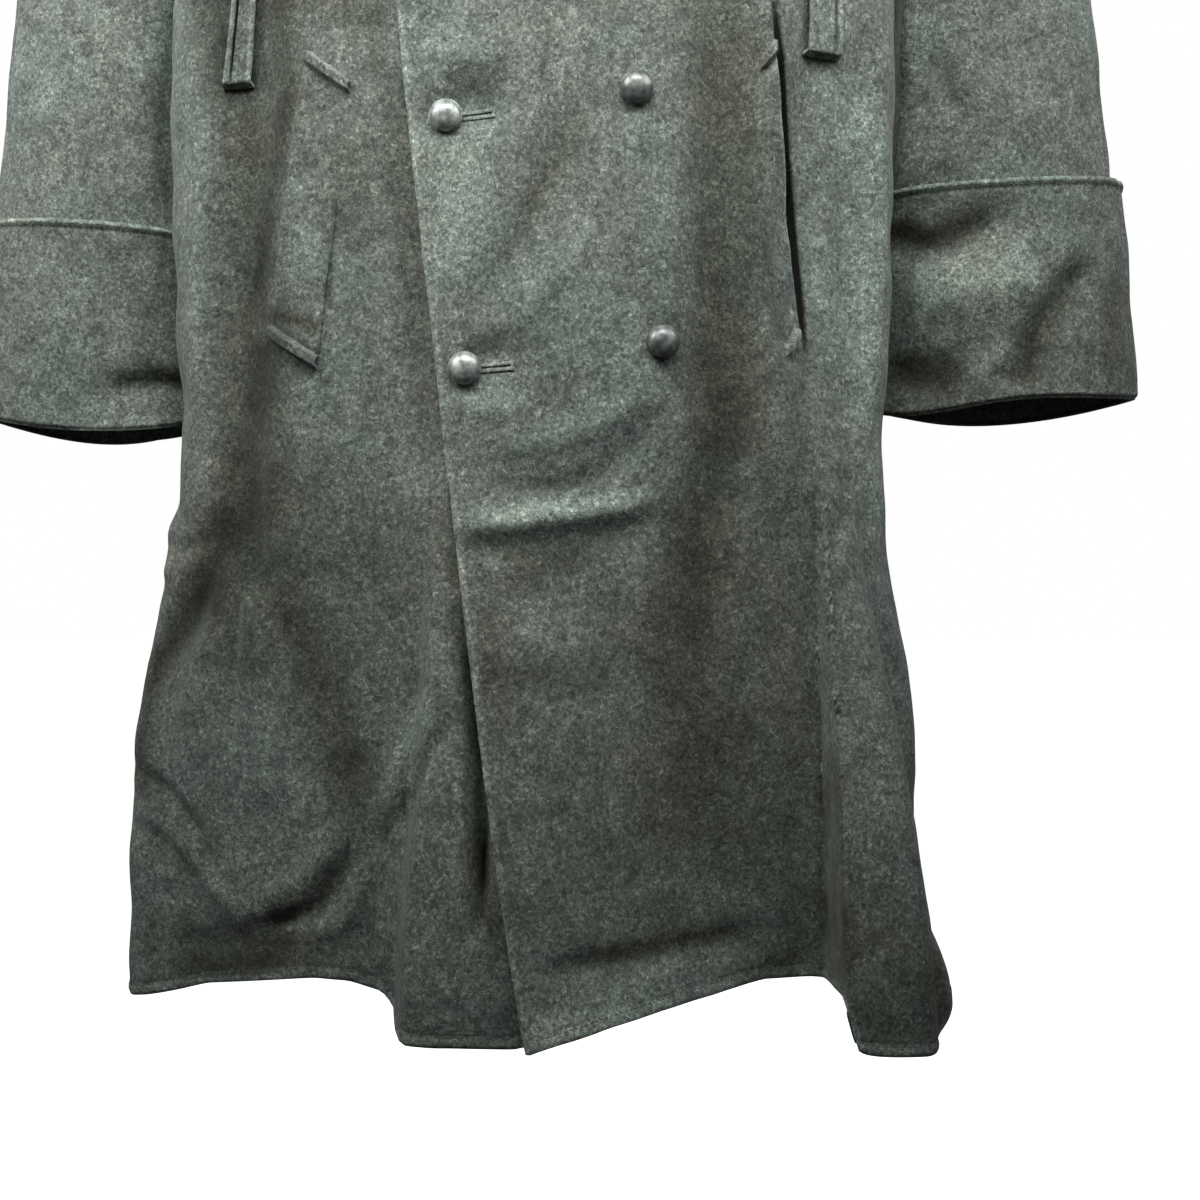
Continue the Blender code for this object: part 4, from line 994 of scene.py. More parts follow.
share = np.linspace(-1, 1, LINE_POINTS)
stand = between(STAND_BACK, STAND_FRONT, np.abs(share))
leaf = between(LEAF_BACK, LEAF_FRONT, np.abs(share))
seam_top = body_top(*neckline(share, 0.0))
lines = []
for line in STAND_LINES:
    rise = np.maximum(line.up * stand, STAND_LEAST + STAND_GROWTH * line.up)
    lines.append(points(*neckline(share, line.out), seam_top + rise))
lines.append(points(*neckline(share, LEAF_START), seam_top + FOLD_SHARE * stand + STAND_LEAST))
for line in LEAF_LINES:
    x, y = neckline(share, reach_over(share, between(LEAF_START, leaf, line.part)))
    lines.append(points(x, y, body_top(x, y) + LEAF_CLEAR + line.rise * stand))
middle = np.stack(lines)
collar_face = smooth_rows(middle + face_normals(middle) * CLOTH / 2, COLLAR_ROWS)
collar_face = smooth_rows(collar_face.swapaxes(0, 1), COLLAR_COLUMNS).swapaxes(0, 1)
out = turned_edge(from_end(collar_face, 0), COLLAR_TURN) + COLLAR_RIPPLE * ripple(collar_face)
collar_face = collar_face + face_normals(collar_face) * out[..., None]
collar = hang(cut_cloth("collar_cloth", collar_face), "collar")
lay_out(collar, collar_face)

# %% [markdown]
# ## Sleeves and cuffs
# A coat sleeve has a top and an under piece, joined along the hind arm and inside the arm. It could be a
# bent tube, but it starts as the armhole's own ring and ends as the flat oval of the cuff, so it is a
# loft between the two. The cuff is the same surface, a little further out, turned back over the sleeve's
# end, with a stitched top edge.

# %% Sleeve surface
CUFF_HEIGHT, CUFF_DROP, CUFF_STEP, CUFF_FLARE = 0.144, 0.004, 0.0008, 0.0042
SLEEVE_SEAM_OUTER, SLEEVE_SEAM_INNER, SEAM_SLIT = 23, 191, 0.2
CUFF_TILT = 0.055
OUTER_FRONT, INNER_FRONT, INNER_BACK, CORNER_REACH = 38, 140, 205, 45  # degrees round a cuff
Sleeve = namedtuple("Sleeve", "side sign cuff_x cuff_y cuff_height half_width half_depth back_drop side_lift "
                    "lean front_drop outer_front inner_front inner_back top_lift")
SLEEVES = (
    Sleeve("left", 1, 0.3400, 0.072, 0.4270, 0.095, 0.050, 0.015, 0.005, 0.085,
           0.0005, 0.0075, 0.0125, -0.0060, 0.0070),
    Sleeve("right", -1, 0.3350, 0.072, 0.3980, 0.088, 0.050, 0.001, 0.013, 0.130,
           -0.0010, 0.0, 0.0, -0.0100, 0.0),
)
ARMHOLE_ROWS, SEARCH_STEPS = 48, 5
LEAVE_X, LEAVE_X_ACROSS, LEAVE_X_AHEAD = 0.285, 0.205, 0.12  # how a sleeve leaves the armhole
LEAVE_Y, LEAVE_Y_ACROSS, LEAVE_Z, LEAVE_Z_ACROSS = 0.05, -0.04, -0.21, 0.06
ARRIVE_Y, ARRIVE_Z, ARRIVE_Z_ACROSS = 0.02, -0.50, -0.10  # and how it comes to its end
CREASED_FROM, CREASED_FADE = 0.05, 0.35  # creases begin where a sleeve turns to the front


def armhole_ring():
    """The left armhole's edge, from the shoulder down the front and up the back."""
    rows = np.concatenate([[1.0], 1 + np.linspace(0.02, 1, ARMHOLE_ROWS)])
    front = left_front_surface(np.full(rows.shape, 1 - SIDE_SEAM), rows)
    back = back_surface(np.full(rows.shape, SIDE_SEAM / 2), rows)
    angles = np.concatenate([(2 - rows[::-1]) * 180, 180 + (rows[1:] - 1) * 180])
    return angles, np.concatenate([front[::-1], back[1:]])


ring_angles, ring_points = armhole_ring()


def sleeve_surface(sleeve):
    """A left sleeve by angle round it, from its outer edge by the front, and share of its length."""

    def surface(angle, share):
        start = [np.interp(angle % 360, ring_angles, ring_points[:, axis]) for axis in range(3)]
        start = np.stack(start, axis=-1) + np.array([2 * SEAM_GAP, 0, 0])
        across, ahead = np.cos(np.radians(angle)), np.sin(np.radians(angle))
        bend = sleeve.back_drop * (ahead - 1) / 2 + sleeve.side_lift * across**2
        level = sleeve.cuff_height + CUFF_TILT * sleeve.half_width * across + bend
        end_x, end_y = sleeve.cuff_x + sleeve.half_width * across, sleeve.cuff_y - sleeve.half_depth * ahead
        leave_x = LEAVE_X + LEAVE_X_ACROSS * across + LEAVE_X_AHEAD * np.abs(ahead)
        leave_y, leave_z = LEAVE_Y + LEAVE_Y_ACROSS * across, LEAVE_Z + LEAVE_Z_ACROSS * across
        leave = np.stack([leave_x, leave_y, leave_z], axis=-1)
        arrive_x, arrive_z = sleeve.lean * (1 + across) / 2, ARRIVE_Z + ARRIVE_Z_ACROSS * across
        arrive = np.stack([arrive_x, ARRIVE_Y + 0 * across, arrive_z], axis=-1)
        return smooth_curve(share[..., None], start, leave, points(end_x, end_y, level), arrive)

    return surface


def below_sleeve_end(surface):
    """The sleeve's surface by angle and by how far a place is below the sleeve's end there."""

    def lower_end(angle, drop):
        share = np.ones(drop.shape)
        target = surface(angle, share)[..., 2] - drop
        for _ in range(SEARCH_STEPS):
            slope = surface(angle, share + STEP)[..., 2] - surface(angle, share - STEP)[..., 2]
            share = share - (surface(angle, share)[..., 2] - target) * 2 * STEP / slope
        return surface(angle, share)

    return lower_end


def cuff_surface(sleeve):
    """The cuff by angle, and row from its top edge to its lower one, just below the sleeve's end."""
    lower_end = below_sleeve_end(sleeve_surface(sleeve))

    def surface(angle, row):
        top = -CUFF_HEIGHT + (sleeve.side_lift - sleeve.top_lift) * np.cos(np.radians(angle)) ** 2
        ahead = np.clip(np.sin(np.radians(angle)), 0, 1)
        drop = CUFF_DROP + sleeve.front_drop * ahead
        for corner, extra in ((OUTER_FRONT, sleeve.outer_front), (INNER_FRONT, sleeve.inner_front),
                              (INNER_BACK, sleeve.inner_back)):
            away = (angle - corner + 180) % 360 - 180
            drop = drop + extra * bell(away, CORNER_REACH)
        return lower_end(angle, between(top, drop, row))

    return surface


def sleeve_relief(place, normal, sign):
    """Creases of a sleeve's front, and ripple all round."""
    facing = ramp((-normal[..., 1] - CREASED_FROM) / CREASED_FADE)
    seen = place * np.array([sign, 1, 1])
    return facing * crease_depth(SLEEVE_CREASES, seen[..., 0], seen[..., 2] + HOLD_HEIGHT) + ripple(seen)


print("armhole", round(float(np.linalg.norm(np.diff(ring_points, axis=0), axis=1).sum()), 3), "m round")

# %% Sleeves
SLEEVE_GIRTH, SLEEVE_LENGTH, ARMHOLE_FADE = 0.26, 0.64, 0.05  # the girth is that of one half
halves = {
    "top": (SLEEVE_SEAM_OUTER, SLEEVE_SEAM_INNER),
    "under": (SLEEVE_SEAM_INNER, SLEEVE_SEAM_OUTER + 360),
}


def facing_out(face, sign):
    """A left piece's points, or its mirror image with the columns turned round so that it still faces out."""
    return face if sign > 0 else (face * np.array([-1, 1, 1]))[:, ::-1]


for sleeve in SLEEVES:
    surface = sleeve_surface(sleeve)
    for half, (first, last) in halves.items():
        columns = spaced(SLEEVE_GIRTH, 0.0032, first=SEAM_FINE, last=SEAM_FINE)
        angles = between(first + SEAM_SLIT, last - SEAM_SLIT, columns)
        place, normal, _ = panel(surface, angles, spaced(SLEEVE_LENGTH, 0.0034, first=SEAM_FINE))
        out = sleeve_relief(place, normal, sleeve.sign) * ramp(run_along(place, 0) / ARMHOLE_FADE)
        out = out + side_seams(place) + seam(run_along(place, 0))
        face = facing_out(place + normal * out[..., None], sleeve.sign)
        name = f"sleeve_{half}_{sleeve.side}"
        piece = hang(cut_cloth(f"{name}_cloth", face), name, f"forearm_{half}_{sleeve.side}")
        lay_out(piece, face)
        paint_light_and_wear(piece, SLEEVE_PAINTED_LIGHT, SLEEVE_CREASES)

# %% Cuffs
CUFF_TURN, CUFF_RAISE, CUFF_ROUND, CUFF_ROUND_WIDTH = 0.0048, 0.0016, 0.0022, 0.0035
CUFF_GIRTH, CUFF_DEPTH = 0.27, 0.148
cuff_faces = {}
for sleeve in SLEEVES:
    surface = cuff_surface(sleeve)
    for half, (first, last) in halves.items():
        columns = spaced(CUFF_GIRTH, 0.0032, first=SEAM_FINE, last=SEAM_FINE)
        angles = between(first + SEAM_SLIT, last - SEAM_SLIT, columns)
        rows = spaced(CUFF_DEPTH, 0.0026, first=0.0096, last=0.0060, fine=0.0008)
        place, normal, row = panel(surface, angles, rows)
        out = CUFF_STEP + CUFF_CLOTH + CUFF_FLARE * (1 - row)
        out = out + sleeve_relief(place, normal, sleeve.sign)
        out = out + turned_edge(run_along(place, 0), CUFF_TURN, CUFF_RAISE)
        out = out + side_seams(place)
        out = out - CUFF_ROUND * (1 - ramp(from_end(place, 0) / CUFF_ROUND_WIDTH))
        face = facing_out(place + normal * out[..., None], sleeve.sign)
        name = f"cuff_{half}_{sleeve.side}"
        cuff_faces[name] = face
        piece = hang(cut_cloth(f"{name}_cloth", face, CUFF_CLOTH), name)
        lay_out(piece, face)
        paint_light_and_wear(piece, SLEEVE_PAINTED_LIGHT, SLEEVE_CREASES, [face[0]])

# %% [markdown]
# ## Pockets and belt loops
# The pockets are slanted welts: a folded strip sewn down along one side, with its ends held by stitched
# bars that stand up like small rolls. The belt loops are strips sewn at both ends. Both lie on the
# creased fronts, so their points are found on the front's surface first, and then lifted by the front's
# own relief and a profile of the strip. Plain strips could be set on the coat, but they would cut into
# its creases.


# %% Places on the fronts
def front_place(x, height):
    return lower_body(bearing_of(x, height), height)


def on_front(surface, column, row):
    """Places, normals and lift of a piece that lies on whichever front is outermost."""
    place, normal = surface(column, row), normals(surface, column, row)
    x, height = place[..., 0], place[..., 2] + HOLD_HEIGHT
    lift = np.where(x > front_edge(height), layer(x, height, 0.0), 0.0) + front_relief(place)
    return place, normal, lift


waist = front_place(np.zeros(1), np.full(1, WAIST))[0]
print("the front at the waist is", round(-waist[1] * 1000, 1), "mm ahead of the shoulders")

# %% Pocket welts
Welt = namedtuple("Welt", "side x0 bottom0 x1 bottom1 x2 top2 x3 top3")
WELTS = (
    Welt("right", -0.1782, 0.4451, -0.1408, 0.4214, -0.1480, 0.6290, -0.1176, 0.6070),
    Welt("left", 0.1622, 0.4291, 0.1752, 0.4440, 0.1432, 0.6233, 0.1545, 0.6374),
)
WELT_CLOTH, WELT_WIDTH, WELT_LENGTH, WELT_THICKNESS = 0.0022, 0.032, 0.20, 0.0028
WELT_BAR, BAR_PLACE, BAR_WIDTH, BAR_STEEPNESS = 0.0034, 0.028, 0.0240, 1.6
NOTCH, NOTCH_AWAY, NOTCH_WIDTH = 0.0018, 0.004, 0.008  # beside a bar
Swell = namedtuple("Swell", "row width rise")
WELT_SWELLS = (Swell(0.30, 0.11, 0.0016), Swell(0.13, 0.04, -0.0012))
GAPE, GAPE_START = 0.0016, 0.55  # the free side stands open
FLUSH_ROW, FLUSH_FADE, FLUSH_SHARE, HELD_SHARE = 0.42, 0.35, 0.8, 0.5  # the sewn side lies flush
RIM_ROUND, RIM_WIDTH, LIP_ROUND, LIP_SHARE = 0.0013, 0.0022, 0.0011, 0.10

for welt in WELTS:
    def surface(column, row, welt=welt):
        x = between(between(welt.x0, welt.x1, column), between(welt.x2, welt.x3, column), row)
        low, high = between(welt.bottom0, welt.bottom1, column), between(welt.top2, welt.top3, column)
        return front_place(x, between(low, high, row))

    rows = spaced(WELT_LENGTH, 0.0020, first=0.0108, last=0.0108)
    column, row = np.meshgrid(spaced(WELT_WIDTH, 0.0012), rows)
    place, normal, lift = on_front(surface, column, row)
    free = column if welt.side == "left" else 1 - column
    from_bar = np.minimum(np.abs(row - BAR_PLACE), np.abs(1 - BAR_PLACE - row))
    bars = ramp(BAR_STEEPNESS * (1 - (from_bar / BAR_WIDTH) ** 2))
    profile = WELT_THICKNESS + WELT_BAR * bars - NOTCH * bell(from_bar - BAR_WIDTH - NOTCH_AWAY, NOTCH_WIDTH)
    for swell in WELT_SWELLS:
        profile = profile + swell.rise * bell(row - swell.row, swell.width)
    profile = profile + GAPE * ramp((free - GAPE_START) / (1 - GAPE_START)) * np.sin(math.pi * row) ** 2
    fade = 1.0 if welt.side == "left" else ramp((row - FLUSH_ROW) / FLUSH_FADE)
    flush = between(1, ramp(free / FLUSH_SHARE), fade)
    held = bars if welt.side == "right" else bars * ramp(free / HELD_SHARE)
    profile = profile * between(flush, 1, held)
    from_sides = np.minimum(run_along(place, 1), from_end(place, 1))
    rim = np.minimum(from_sides, np.minimum(run_along(place, 0), from_end(place, 0)))
    profile = profile - RIM_ROUND * (1 - ramp(rim / RIM_WIDTH))
    profile = profile - LIP_ROUND * (1 - ramp((1 - free) / LIP_SHARE))
    face = place + normal * (lift + profile)[..., None]
    piece = hang(cut_cloth(f"pocket_welt_{welt.side}_cloth", face, WELT_CLOTH), f"pocket_welt_{welt.side}")
    lay_out(piece, face)
    marks, creases = (LEFT_PAINTED_LIGHT, LEFT_CREASES) if welt.side == "left" else (RIGHT_PAINTED_LIGHT, RIGHT_CREASES)
    paint_light_and_wear(piece, marks, creases, [face[:, -1]] if welt.side == "left" else [face[0], face[-1]])

# %% Belt loops
Loop = namedtuple("Loop", "side x lean bottom width fold tone")
# tone: a painted shade over the right loop and a painted highlight over the left one
LOOPS = (
    Loop("right", -0.1998, 0.017, 0.6105, 0.0180, 0.0052, -0.30),
    Loop("left", 0.1912, -0.008, 0.6318, 0.0285, 0.0046, 0.50),
)
LOOP_LENGTH, LOOP_STAND, LOOP_TURN = 0.100, 0.0036, 0.0035
LOOP_GAP, LOOP_RUN, END_ROUND, END_WIDTH = 0.0004, 0.023, 0.0014, 0.002
SIDE_ROUND, SIDE_WIDTH, SEW_DEPTH, SEW_AWAY, SEW_WIDTH = 0.0009, 0.0016, 0.0006, 0.0036, 0.0011
LOOP_GROOVE, GROOVE_WIDTH = 0.0022, 0.0008  # a loop is folded beside its outer edge
# the width of the loop's painted tone, and a painted shadow in the gap by its fold
LOOP_MARK, GROOVE_MARK, GROOVE_SHADE = 0.02, 0.0010, -1.1

for loop in LOOPS:
    def surface(column, row, loop=loop):
        x = loop.x + loop.lean * row + loop.width * (column - 0.5)
        return front_place(x, loop.bottom + LOOP_LENGTH * row)

    rows = spaced(LOOP_LENGTH, 0.0022, first=0.0120, last=0.0120)
    column, row = np.meshgrid(spaced(LOOP_RUN, 0.0007), rows)
    place, normal, lift = on_front(surface, column, row)
    ends = np.minimum(row, 1 - row) * LOOP_LENGTH
    stand = LOOP_GAP + CLOTH + LOOP_STAND * ramp(ends / LOOP_TURN) - END_ROUND * (1 - ramp(ends / END_WIDTH))
    sides = np.minimum(run_along(place, 1), from_end(place, 1))
    stand = stand - SIDE_ROUND * (1 - ramp(sides / SIDE_WIDTH))
    stand = stand - SEW_DEPTH * bell(sides - SEW_AWAY, SEW_WIDTH)
    outer = from_end(place, 1) if loop.side == "left" else run_along(place, 1)
    stand = stand - LOOP_GROOVE * bell(outer - loop.fold, GROOVE_WIDTH) * ramp(ends / LOOP_TURN - 0.5)
    face = place + normal * (lift + stand)[..., None]
    piece = hang(cut_cloth(f"belt_loop_{loop.side}_cloth", face), f"belt_loop_{loop.side}")
    lay_out(piece, face)
    middle, fold = face.shape[1] // 2, np.argmin(np.abs(outer[0] - loop.fold))
    # The loop's painted tone and the painted shadow in the gap by its fold, with a lighter band along its
    # edges: edge wear with a painted highlight.
    marks = []
    for name, column, width, tone in (("loop", middle, LOOP_MARK, loop.tone),
                                      ("gap by the fold", fold, GROOVE_MARK, GROOVE_SHADE)):
        line = face[[0, len(face) // 2, -1], column] + np.array([0, 0, HOLD_HEIGHT])
        marks.append(RubMark(name, *line[:, [0, 2]].ravel(), width, tone))
    paint_light_and_wear(piece, marks, (), [face[0], face[:, 0], face[:, -1]])

# %% [markdown]
# ## Buttons and buttonholes
# The buttons are stamped domes with a rolled rim, painted to match the cloth, on a short shank. One is
# modelled from the top half of a sphere: flattened, its open edge pulled down into a rim, turned in
# underneath and drawn out to the shank. The others are copies; those at the edge get a lighter paint, a
# painted highlight. A buttonhole is two piped lips with a slit between, worked as a small strip on the
# cloth. Spinning a profile would give the same button. The sphere already has an even dome.


# %% Button paint
def make_paint(name, light):
    """Satin paint with worn spots and a fine grain."""
    material, tree, shader, where = new_finish(name)
    grain = add_node(tree, "ShaderNodeTexNoise", Scale=650.0, Detail=3.0)
    wear = add_node(tree, "ShaderNodeTexNoise", Scale=190.0, Detail=4.0)
    for node in (grain, wear):
        tree.links.new(where, node.inputs["Vector"])
    tones = ((0.34, (0.50, 0.58, 0.53)), (0.5, (0.95, 1.06, 0.98)), (0.66, (1.55, 1.66, 1.55)))
    colour = add_ramp(tree, wear.outputs["Fac"], [(at, tuple(light * v for v in tone)) for at, tone in tones])
    gloss = add_ramp(tree, wear.outputs["Fac"], [(0.3, grey(0.26)), (0.7, grey(0.42))])
    tree.links.new(colour, shader.inputs["Base Color"])
    tree.links.new(gloss, shader.inputs["Roughness"])
    shader.inputs["Metallic"].default_value = 0.35
    bump = add_node(tree, "ShaderNodeBump", Strength=0.25, Distance=0.0003)
    tree.links.new(grain.outputs["Fac"], bump.inputs["Height"])
    tree.links.new(bump.outputs["Normal"], shader.inputs["Normal"])
    return material


# the edge buttons get a lighter copy of the paint: a painted highlight
paint, lit_paint = make_paint("button_paint", 0.125), make_paint("worn_button_paint", 0.25)
print("made", paint.name, "and", lit_paint.name)

# %% One button
BUTTON_RADIUS, BUTTON_DOME, BUTTON_RIM = 0.0108, 0.0068, 0.0016
DOME_RADIUS = BUTTON_RADIUS * 0.965
SHANK_LENGTH, SHANK_GAP = 0.0018, 0.0006
RimStep = namedtuple("RimStep", "down scale")
RIM_STEPS = (
    RimStep(0.0003, 0.99), RimStep(0.0001, 1.042), RimStep(0.0005, 1.004), RimStep(0.0004, 0.985),
    RimStep(0.0002, 0.90), RimStep(0.0001, 0.36), RimStep(SHANK_LENGTH, 0.9),
)


def pull(down, scale):
    """Draws the open edge out by a step and narrows or widens it."""
    bpy.ops.mesh.extrude_region_move(TRANSFORM_OT_translate={"value": (0, 0, -down)})
    bpy.ops.transform.resize(value=(scale, scale, 1))


bpy.ops.object.select_all(action="DESELECT")
bpy.ops.mesh.primitive_uv_sphere_add(segments=48, ring_count=32, radius=DOME_RADIUS)
button = bpy.context.object
button.name = button.data.name = "button"
bpy.ops.object.mode_set(mode="EDIT")
bpy.ops.mesh.select_all(action="SELECT")
bpy.ops.mesh.bisect(plane_co=(0, 0, 0), plane_no=(0, 0, 1), clear_inner=True)
bpy.ops.mesh.select_all(action="SELECT")
bpy.ops.transform.resize(value=(1, 1, BUTTON_DOME / DOME_RADIUS))
bpy.ops.mesh.select_mode(type="EDGE")
bpy.ops.mesh.select_all(action="DESELECT")
bpy.ops.mesh.select_non_manifold()
for step in RIM_STEPS:
    pull(step.down, step.scale)
bpy.ops.mesh.edge_face_add()
bpy.ops.mesh.select_all(action="SELECT")
bpy.ops.mesh.normals_make_consistent(inside=False)
bpy.ops.transform.translate(value=(0, 0, SHANK_GAP + SHANK_LENGTH + BUTTON_RIM))
bpy.ops.object.mode_set(mode="OBJECT")
bpy.ops.object.shade_smooth_by_angle(angle=math.radians(35))
button.data.materials.append(paint)
print("button", len(button.data.polygons), "faces,", round(button.dimensions.x * 1000, 1), "mm wide")

# %% Buttons in their places
ButtonRow = namedtuple("ButtonRow", "name inner_x inner_height outer_x outer_height")
BUTTON_ROWS = (
    ButtonRow("low", -0.0444, 0.4208, 0.0810, 0.4384),
    ButtonRow("mid", -0.0564, 0.5808, 0.0646, 0.5990),
    ButtonRow("high", -0.0684, 0.7410, 0.0482, 0.7590),
)
for row in BUTTON_ROWS:
    for column, x, height in (("edge", row.inner_x, row.inner_height),
                              ("side", row.outer_x, row.outer_height)):
        place, normal, lift = on_front(front_place, np.array([x]), np.array([height]))
        spot = (place + normal * lift[..., None])[0]
        piece = button.copy()
        piece.data = button.data.copy()
        piece.data.materials[0] = lit_paint if column == "edge" else paint
        piece.name = piece.data.name = f"button_{column}_{row.name}_dome"
        bpy.context.collection.objects.link(piece)
        tilt, ahead = math.acos(normal[0][2]), np.array([-normal[0][1], normal[0][0], 0.0])
        ahead *= math.sin(tilt / 2) / np.linalg.norm(ahead)
        piece.location, piece.rotation_mode = spot, "QUATERNION"
        piece.rotation_quaternion = (math.cos(tilt / 2), *ahead)
        bpy.ops.object.select_all(action="DESELECT")
        piece.select_set(True)
        bpy.context.view_layer.objects.active = piece
        bpy.ops.object.transform_apply(location=True, rotation=True, scale=True)
        hang(piece, f"button_{column}_{row.name}", slot=BUTTON_SLOT)
bpy.data.objects.remove(button, do_unlink=True)
print(2 * len(BUTTON_ROWS), "buttons")

# %% Buttonholes
HOLE_LENGTH, HOLE_WIDTH, HOLE_RISE, HOLE_START = 0.0235, 0.0064, 0.0018, BUTTON_RADIUS * 0.75
HOLE_COLUMNS, HOLE_ROWS, HOLE_GAP, HOLE_CLOTH = 44, 25, 0.0001, 0.0012
LIP, LIP_PLACE, LIP_RADIUS = 0.0011, 0.0014, 0.0015
SLIT, SLIT_WIDTH, SLIT_END = 0.0018, 0.0009, 0.0022
light_wool = make_wool("piped_wool", 1.35)
for row in BUTTON_ROWS:
    def surface(column, share, row=row):
        x = row.inner_x + HOLE_START + HOLE_LENGTH * column
        return front_place(x, row.inner_height + HOLE_RISE * column + HOLE_WIDTH * (share - 0.5))

    column, share = np.meshgrid(np.linspace(0, 1, HOLE_COLUMNS), np.linspace(0, 1, HOLE_ROWS))
    place, normal, lift = on_front(surface, column, share)
    away = np.abs(share - 0.5) * HOLE_WIDTH
    end = (1 - column) * HOLE_LENGTH
    inside = np.minimum(HOLE_WIDTH / 2 - away, end)
    lips = LIP * np.sqrt(np.clip(1 - ((inside - LIP_PLACE) / LIP_RADIUS) ** 2, 0, 1))
    lips = np.where(inside < LIP_PLACE + LIP_RADIUS, lips, 0.0)
    slit = np.where((away < SLIT_WIDTH) & (end > SLIT_END), SLIT * (1 - ramp(away / SLIT_WIDTH)), 0)
    face = place + normal * (lift + HOLE_GAP + lips - slit)[..., None]
    piece = cut_cloth(f"buttonhole_{row.name}", face, HOLE_CLOTH, 0)
    piece.data.materials[0] = light_wool
    hang(piece)
    lay_out(piece, face)

# %% [markdown]
# ## Stitches
# Hem and cuffs are closed with a row of stitches that sink into the groove. One stitch is a small
# flattened sphere of few faces. Copies of it are set along the groove, all in one mesh for each row, so
# that they stay light. They could be a bump in the finish, but then the meshes would not have them.

# %% Rows of stitches
STITCH_LENGTH, STITCH_PITCH, STITCH_RADIUS = 0.0026, 0.0036, 0.00042
SIGHT = 0.001  # how far along a row its direction is taken
bpy.ops.object.select_all(action="DESELECT")
bpy.ops.mesh.primitive_uv_sphere_add(segments=6, ring_count=4, radius=1)
grain = bpy.context.object
grain_points = np.array([vertex.co for vertex in grain.data.vertices])
grain_faces = [tuple(face.vertices) for face in grain.data.polygons]
bpy.data.objects.remove(grain, do_unlink=True)
thread = make_wool("thread", 0.72)


def sew(name, face, away):
    """A row of stitches on a sheet's face, along the line that is this far from its first row."""
    run = run_along(face, 0)

    def at(values):
        """Values where the row crosses each column."""
        return np.array([[np.interp(away, run[:, j], values[:, j, axis]) for axis in range(3)]
                         for j in range(face.shape[1])])

    line, up = at(face), at(face_normals(face))
    length = np.concatenate([[0], np.cumsum(np.linalg.norm(np.diff(line, axis=0), axis=1))])
    where = np.arange(STITCH_PITCH, length[-1] - STITCH_PITCH, STITCH_PITCH)

    def along(values, shift=0.0):
        return np.stack([np.interp(where + shift, length, values[:, axis]) for axis in range(3)], axis=-1)

    spot, ahead, up = along(line), along(line, SIGHT) - along(line, -SIGHT), along(up)
    ahead /= np.linalg.norm(ahead, axis=1, keepdims=True)
    across = np.cross(up, ahead)
    scaled = grain_points * np.array([STITCH_LENGTH / 2, STITCH_RADIUS, STITCH_RADIUS])
    copies = (spot[:, None] + scaled[None, :, :1] * ahead[:, None] + scaled[None, :, 1:2] * across[:, None]
              + scaled[None, :, 2:] * up[:, None])
    faces = [tuple(int(v) + k * len(scaled) for v in face) for k in range(len(spot)) for face in grain_faces]
    mesh = bpy.data.meshes.new(name)
    mesh.from_pydata(copies.reshape(-1, 3).tolist(), [], faces)
    mesh.shade_smooth()
    mesh.materials.append(thread)
    piece = bpy.data.objects.new(name, mesh)
    bpy.context.collection.objects.link(piece)
    hang(piece)
    print(name, len(spot), "stitches")


sew("hem_stitches_left", left_face, HEM_TURN)
sew("hem_stitches_right", right_face, HEM_TURN)
for side, face in back_faces.items():
    sew(f"hem_stitches_back_{side}", face, HEM_TURN)
for name, face in cuff_faces.items():
    sew(f"{name}_stitches", face, CUFF_TURN)

# %% [markdown]
# ## Stage, light and camera
# The coat hangs in front of plain white. A soft light from above and in front does most of the work, and
# one at each side fills in, as under a bright ceiling: the shoulders and sleeves are lightest and the
# skirt falls off. A light behind is there for views of the back. The floor and sky show as white but give
# little light, so that the folds keep their shade. One strong lamp could do it, but its shadows would be
# hard.

# %% Stage
FLOOR_RADIUS, FLOOR_Z, SKY_LIGHT = 30, -1.45, 0.04
bpy.ops.object.select_all(action="DESELECT")
bpy.ops.mesh.primitive_circle_add(vertices=64, radius=FLOOR_RADIUS, fill_type="NGON")
bpy.context.object.location = (0, 0, FLOOR_Z)
floor = bpy.context.object
floor.name = "floor"
white = bpy.data.materials.new("white_floor")
white.use_nodes = True
shader = white.node_tree.nodes["Principled BSDF"]
shader.inputs["Base Color"].default_value = (0.9, 0.9, 0.9, 1)
shader.inputs["Emission Color"].default_value = (1, 1, 1, 1)
shader.inputs["Emission Strength"].default_value = 1.0
floor.data.materials.append(white)
floor.visible_diffuse = floor.visible_glossy = False

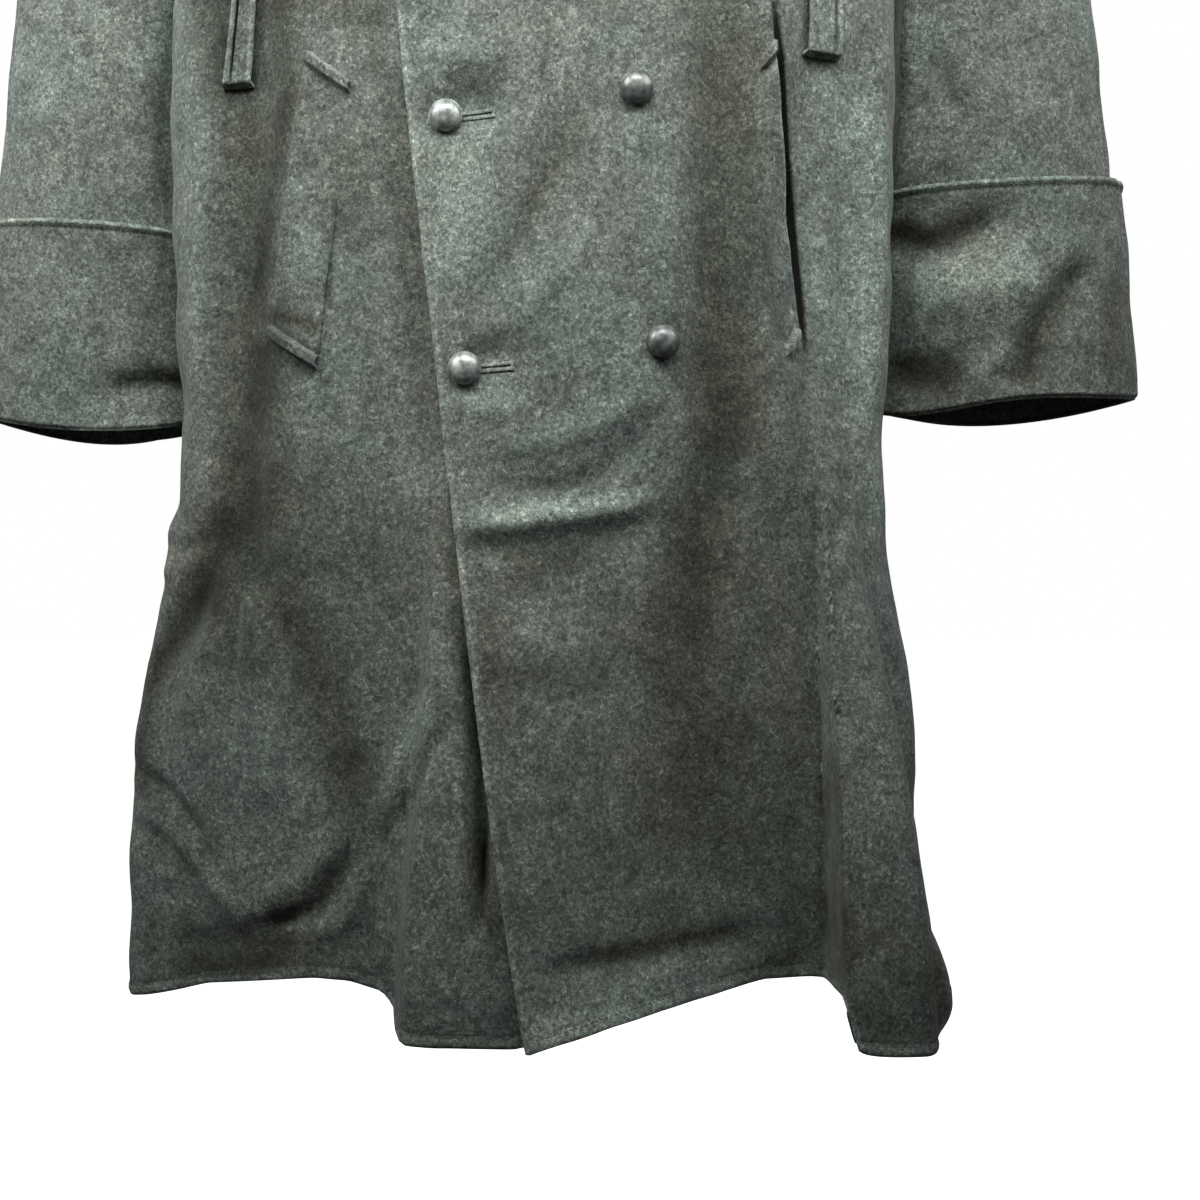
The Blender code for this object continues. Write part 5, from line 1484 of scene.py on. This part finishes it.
world = bpy.data.worlds.new("studio")
bpy.context.scene.world = world
world.use_nodes = True
tree = world.node_tree
seen = tree.nodes.new("ShaderNodeLightPath").outputs["Is Camera Ray"]
dim = tree.nodes["Background"]
dim.inputs["Color"].default_value, dim.inputs["Strength"].default_value = (1, 1, 1, 1), SKY_LIGHT
bright = add_node(tree, "ShaderNodeBackground", Color=(1, 1, 1, 1), Strength=1.0)
mix = tree.nodes.new("ShaderNodeMixShader")
tree.links.new(seen, mix.inputs[0])
tree.links.new(dim.outputs[0], mix.inputs[1])
tree.links.new(bright.outputs[0], mix.inputs[2])
tree.links.new(mix.outputs[0], tree.nodes["World Output"].inputs["Surface"])
bpy.context.scene.view_settings.view_transform = "Standard"
print("floor and white surroundings")

# %% Lights
Lamp = namedtuple("Lamp", "name x y z aim_x aim_y aim_z width height power spread")
LAMPS = (
    Lamp("front_light", 0.05, -0.85, 0.40, 0.0, 0.0, -0.15, 0.9, 0.4, 10.4, 110),
    Lamp("left_light", -0.95, -0.60, 0.25, -0.35, 0.0, -0.20, 0.8, 0.6, 5.4, 80),
    Lamp("right_light", 0.95, -0.50, 0.25, 0.25, 0.0, -0.05, 0.8, 0.6, 4.0, 90),
    Lamp("back_light", 0.0, 1.6, 0.5, 0.0, 0.0, -0.5, 1.6, 1.0, 22, 180),
)
for lamp in LAMPS:
    bpy.ops.object.light_add(type="AREA", location=(lamp.x, lamp.y, lamp.z))
    light = bpy.context.object
    light.name = lamp.name
    light.data.shape, light.data.size, light.data.size_y = "RECTANGLE", lamp.width, lamp.height
    light.data.energy, light.data.spread = lamp.power, math.radians(lamp.spread)
    aim = np.array([lamp.aim_x - lamp.x, lamp.aim_y - lamp.y, lamp.aim_z - lamp.z])
    flat = math.hypot(aim[0], aim[1])
    light.rotation_euler = (math.atan2(flat, -aim[2]), 0, math.atan2(-aim[0], aim[1]))
print(len(LAMPS), "lights")

# %% Camera
IMAGE, METRES_PER_PIXEL, SENSOR = 1200, 0.0007, 36
CAMERA_X, CAMERA_HEIGHT, DISTANCE = 0.0413, 0.274, 1.15
place = (CAMERA_X, -DISTANCE, CAMERA_HEIGHT - HOLD_HEIGHT)
bpy.ops.object.camera_add(location=place, rotation=(math.pi / 2, 0, 0))
camera = bpy.context.object
camera.name = "camera"
camera.data.sensor_width = SENSOR
camera.data.lens = SENSOR * DISTANCE / (IMAGE * METRES_PER_PIXEL)
bpy.context.scene.camera = camera
print("lens", round(camera.data.lens, 2), "mm")

# %% Sizes of the cloth
print(len(sheets), "sheets of cloth,", round(sum(area for _, _, area in sheets.values()), 2), "m2 in all")
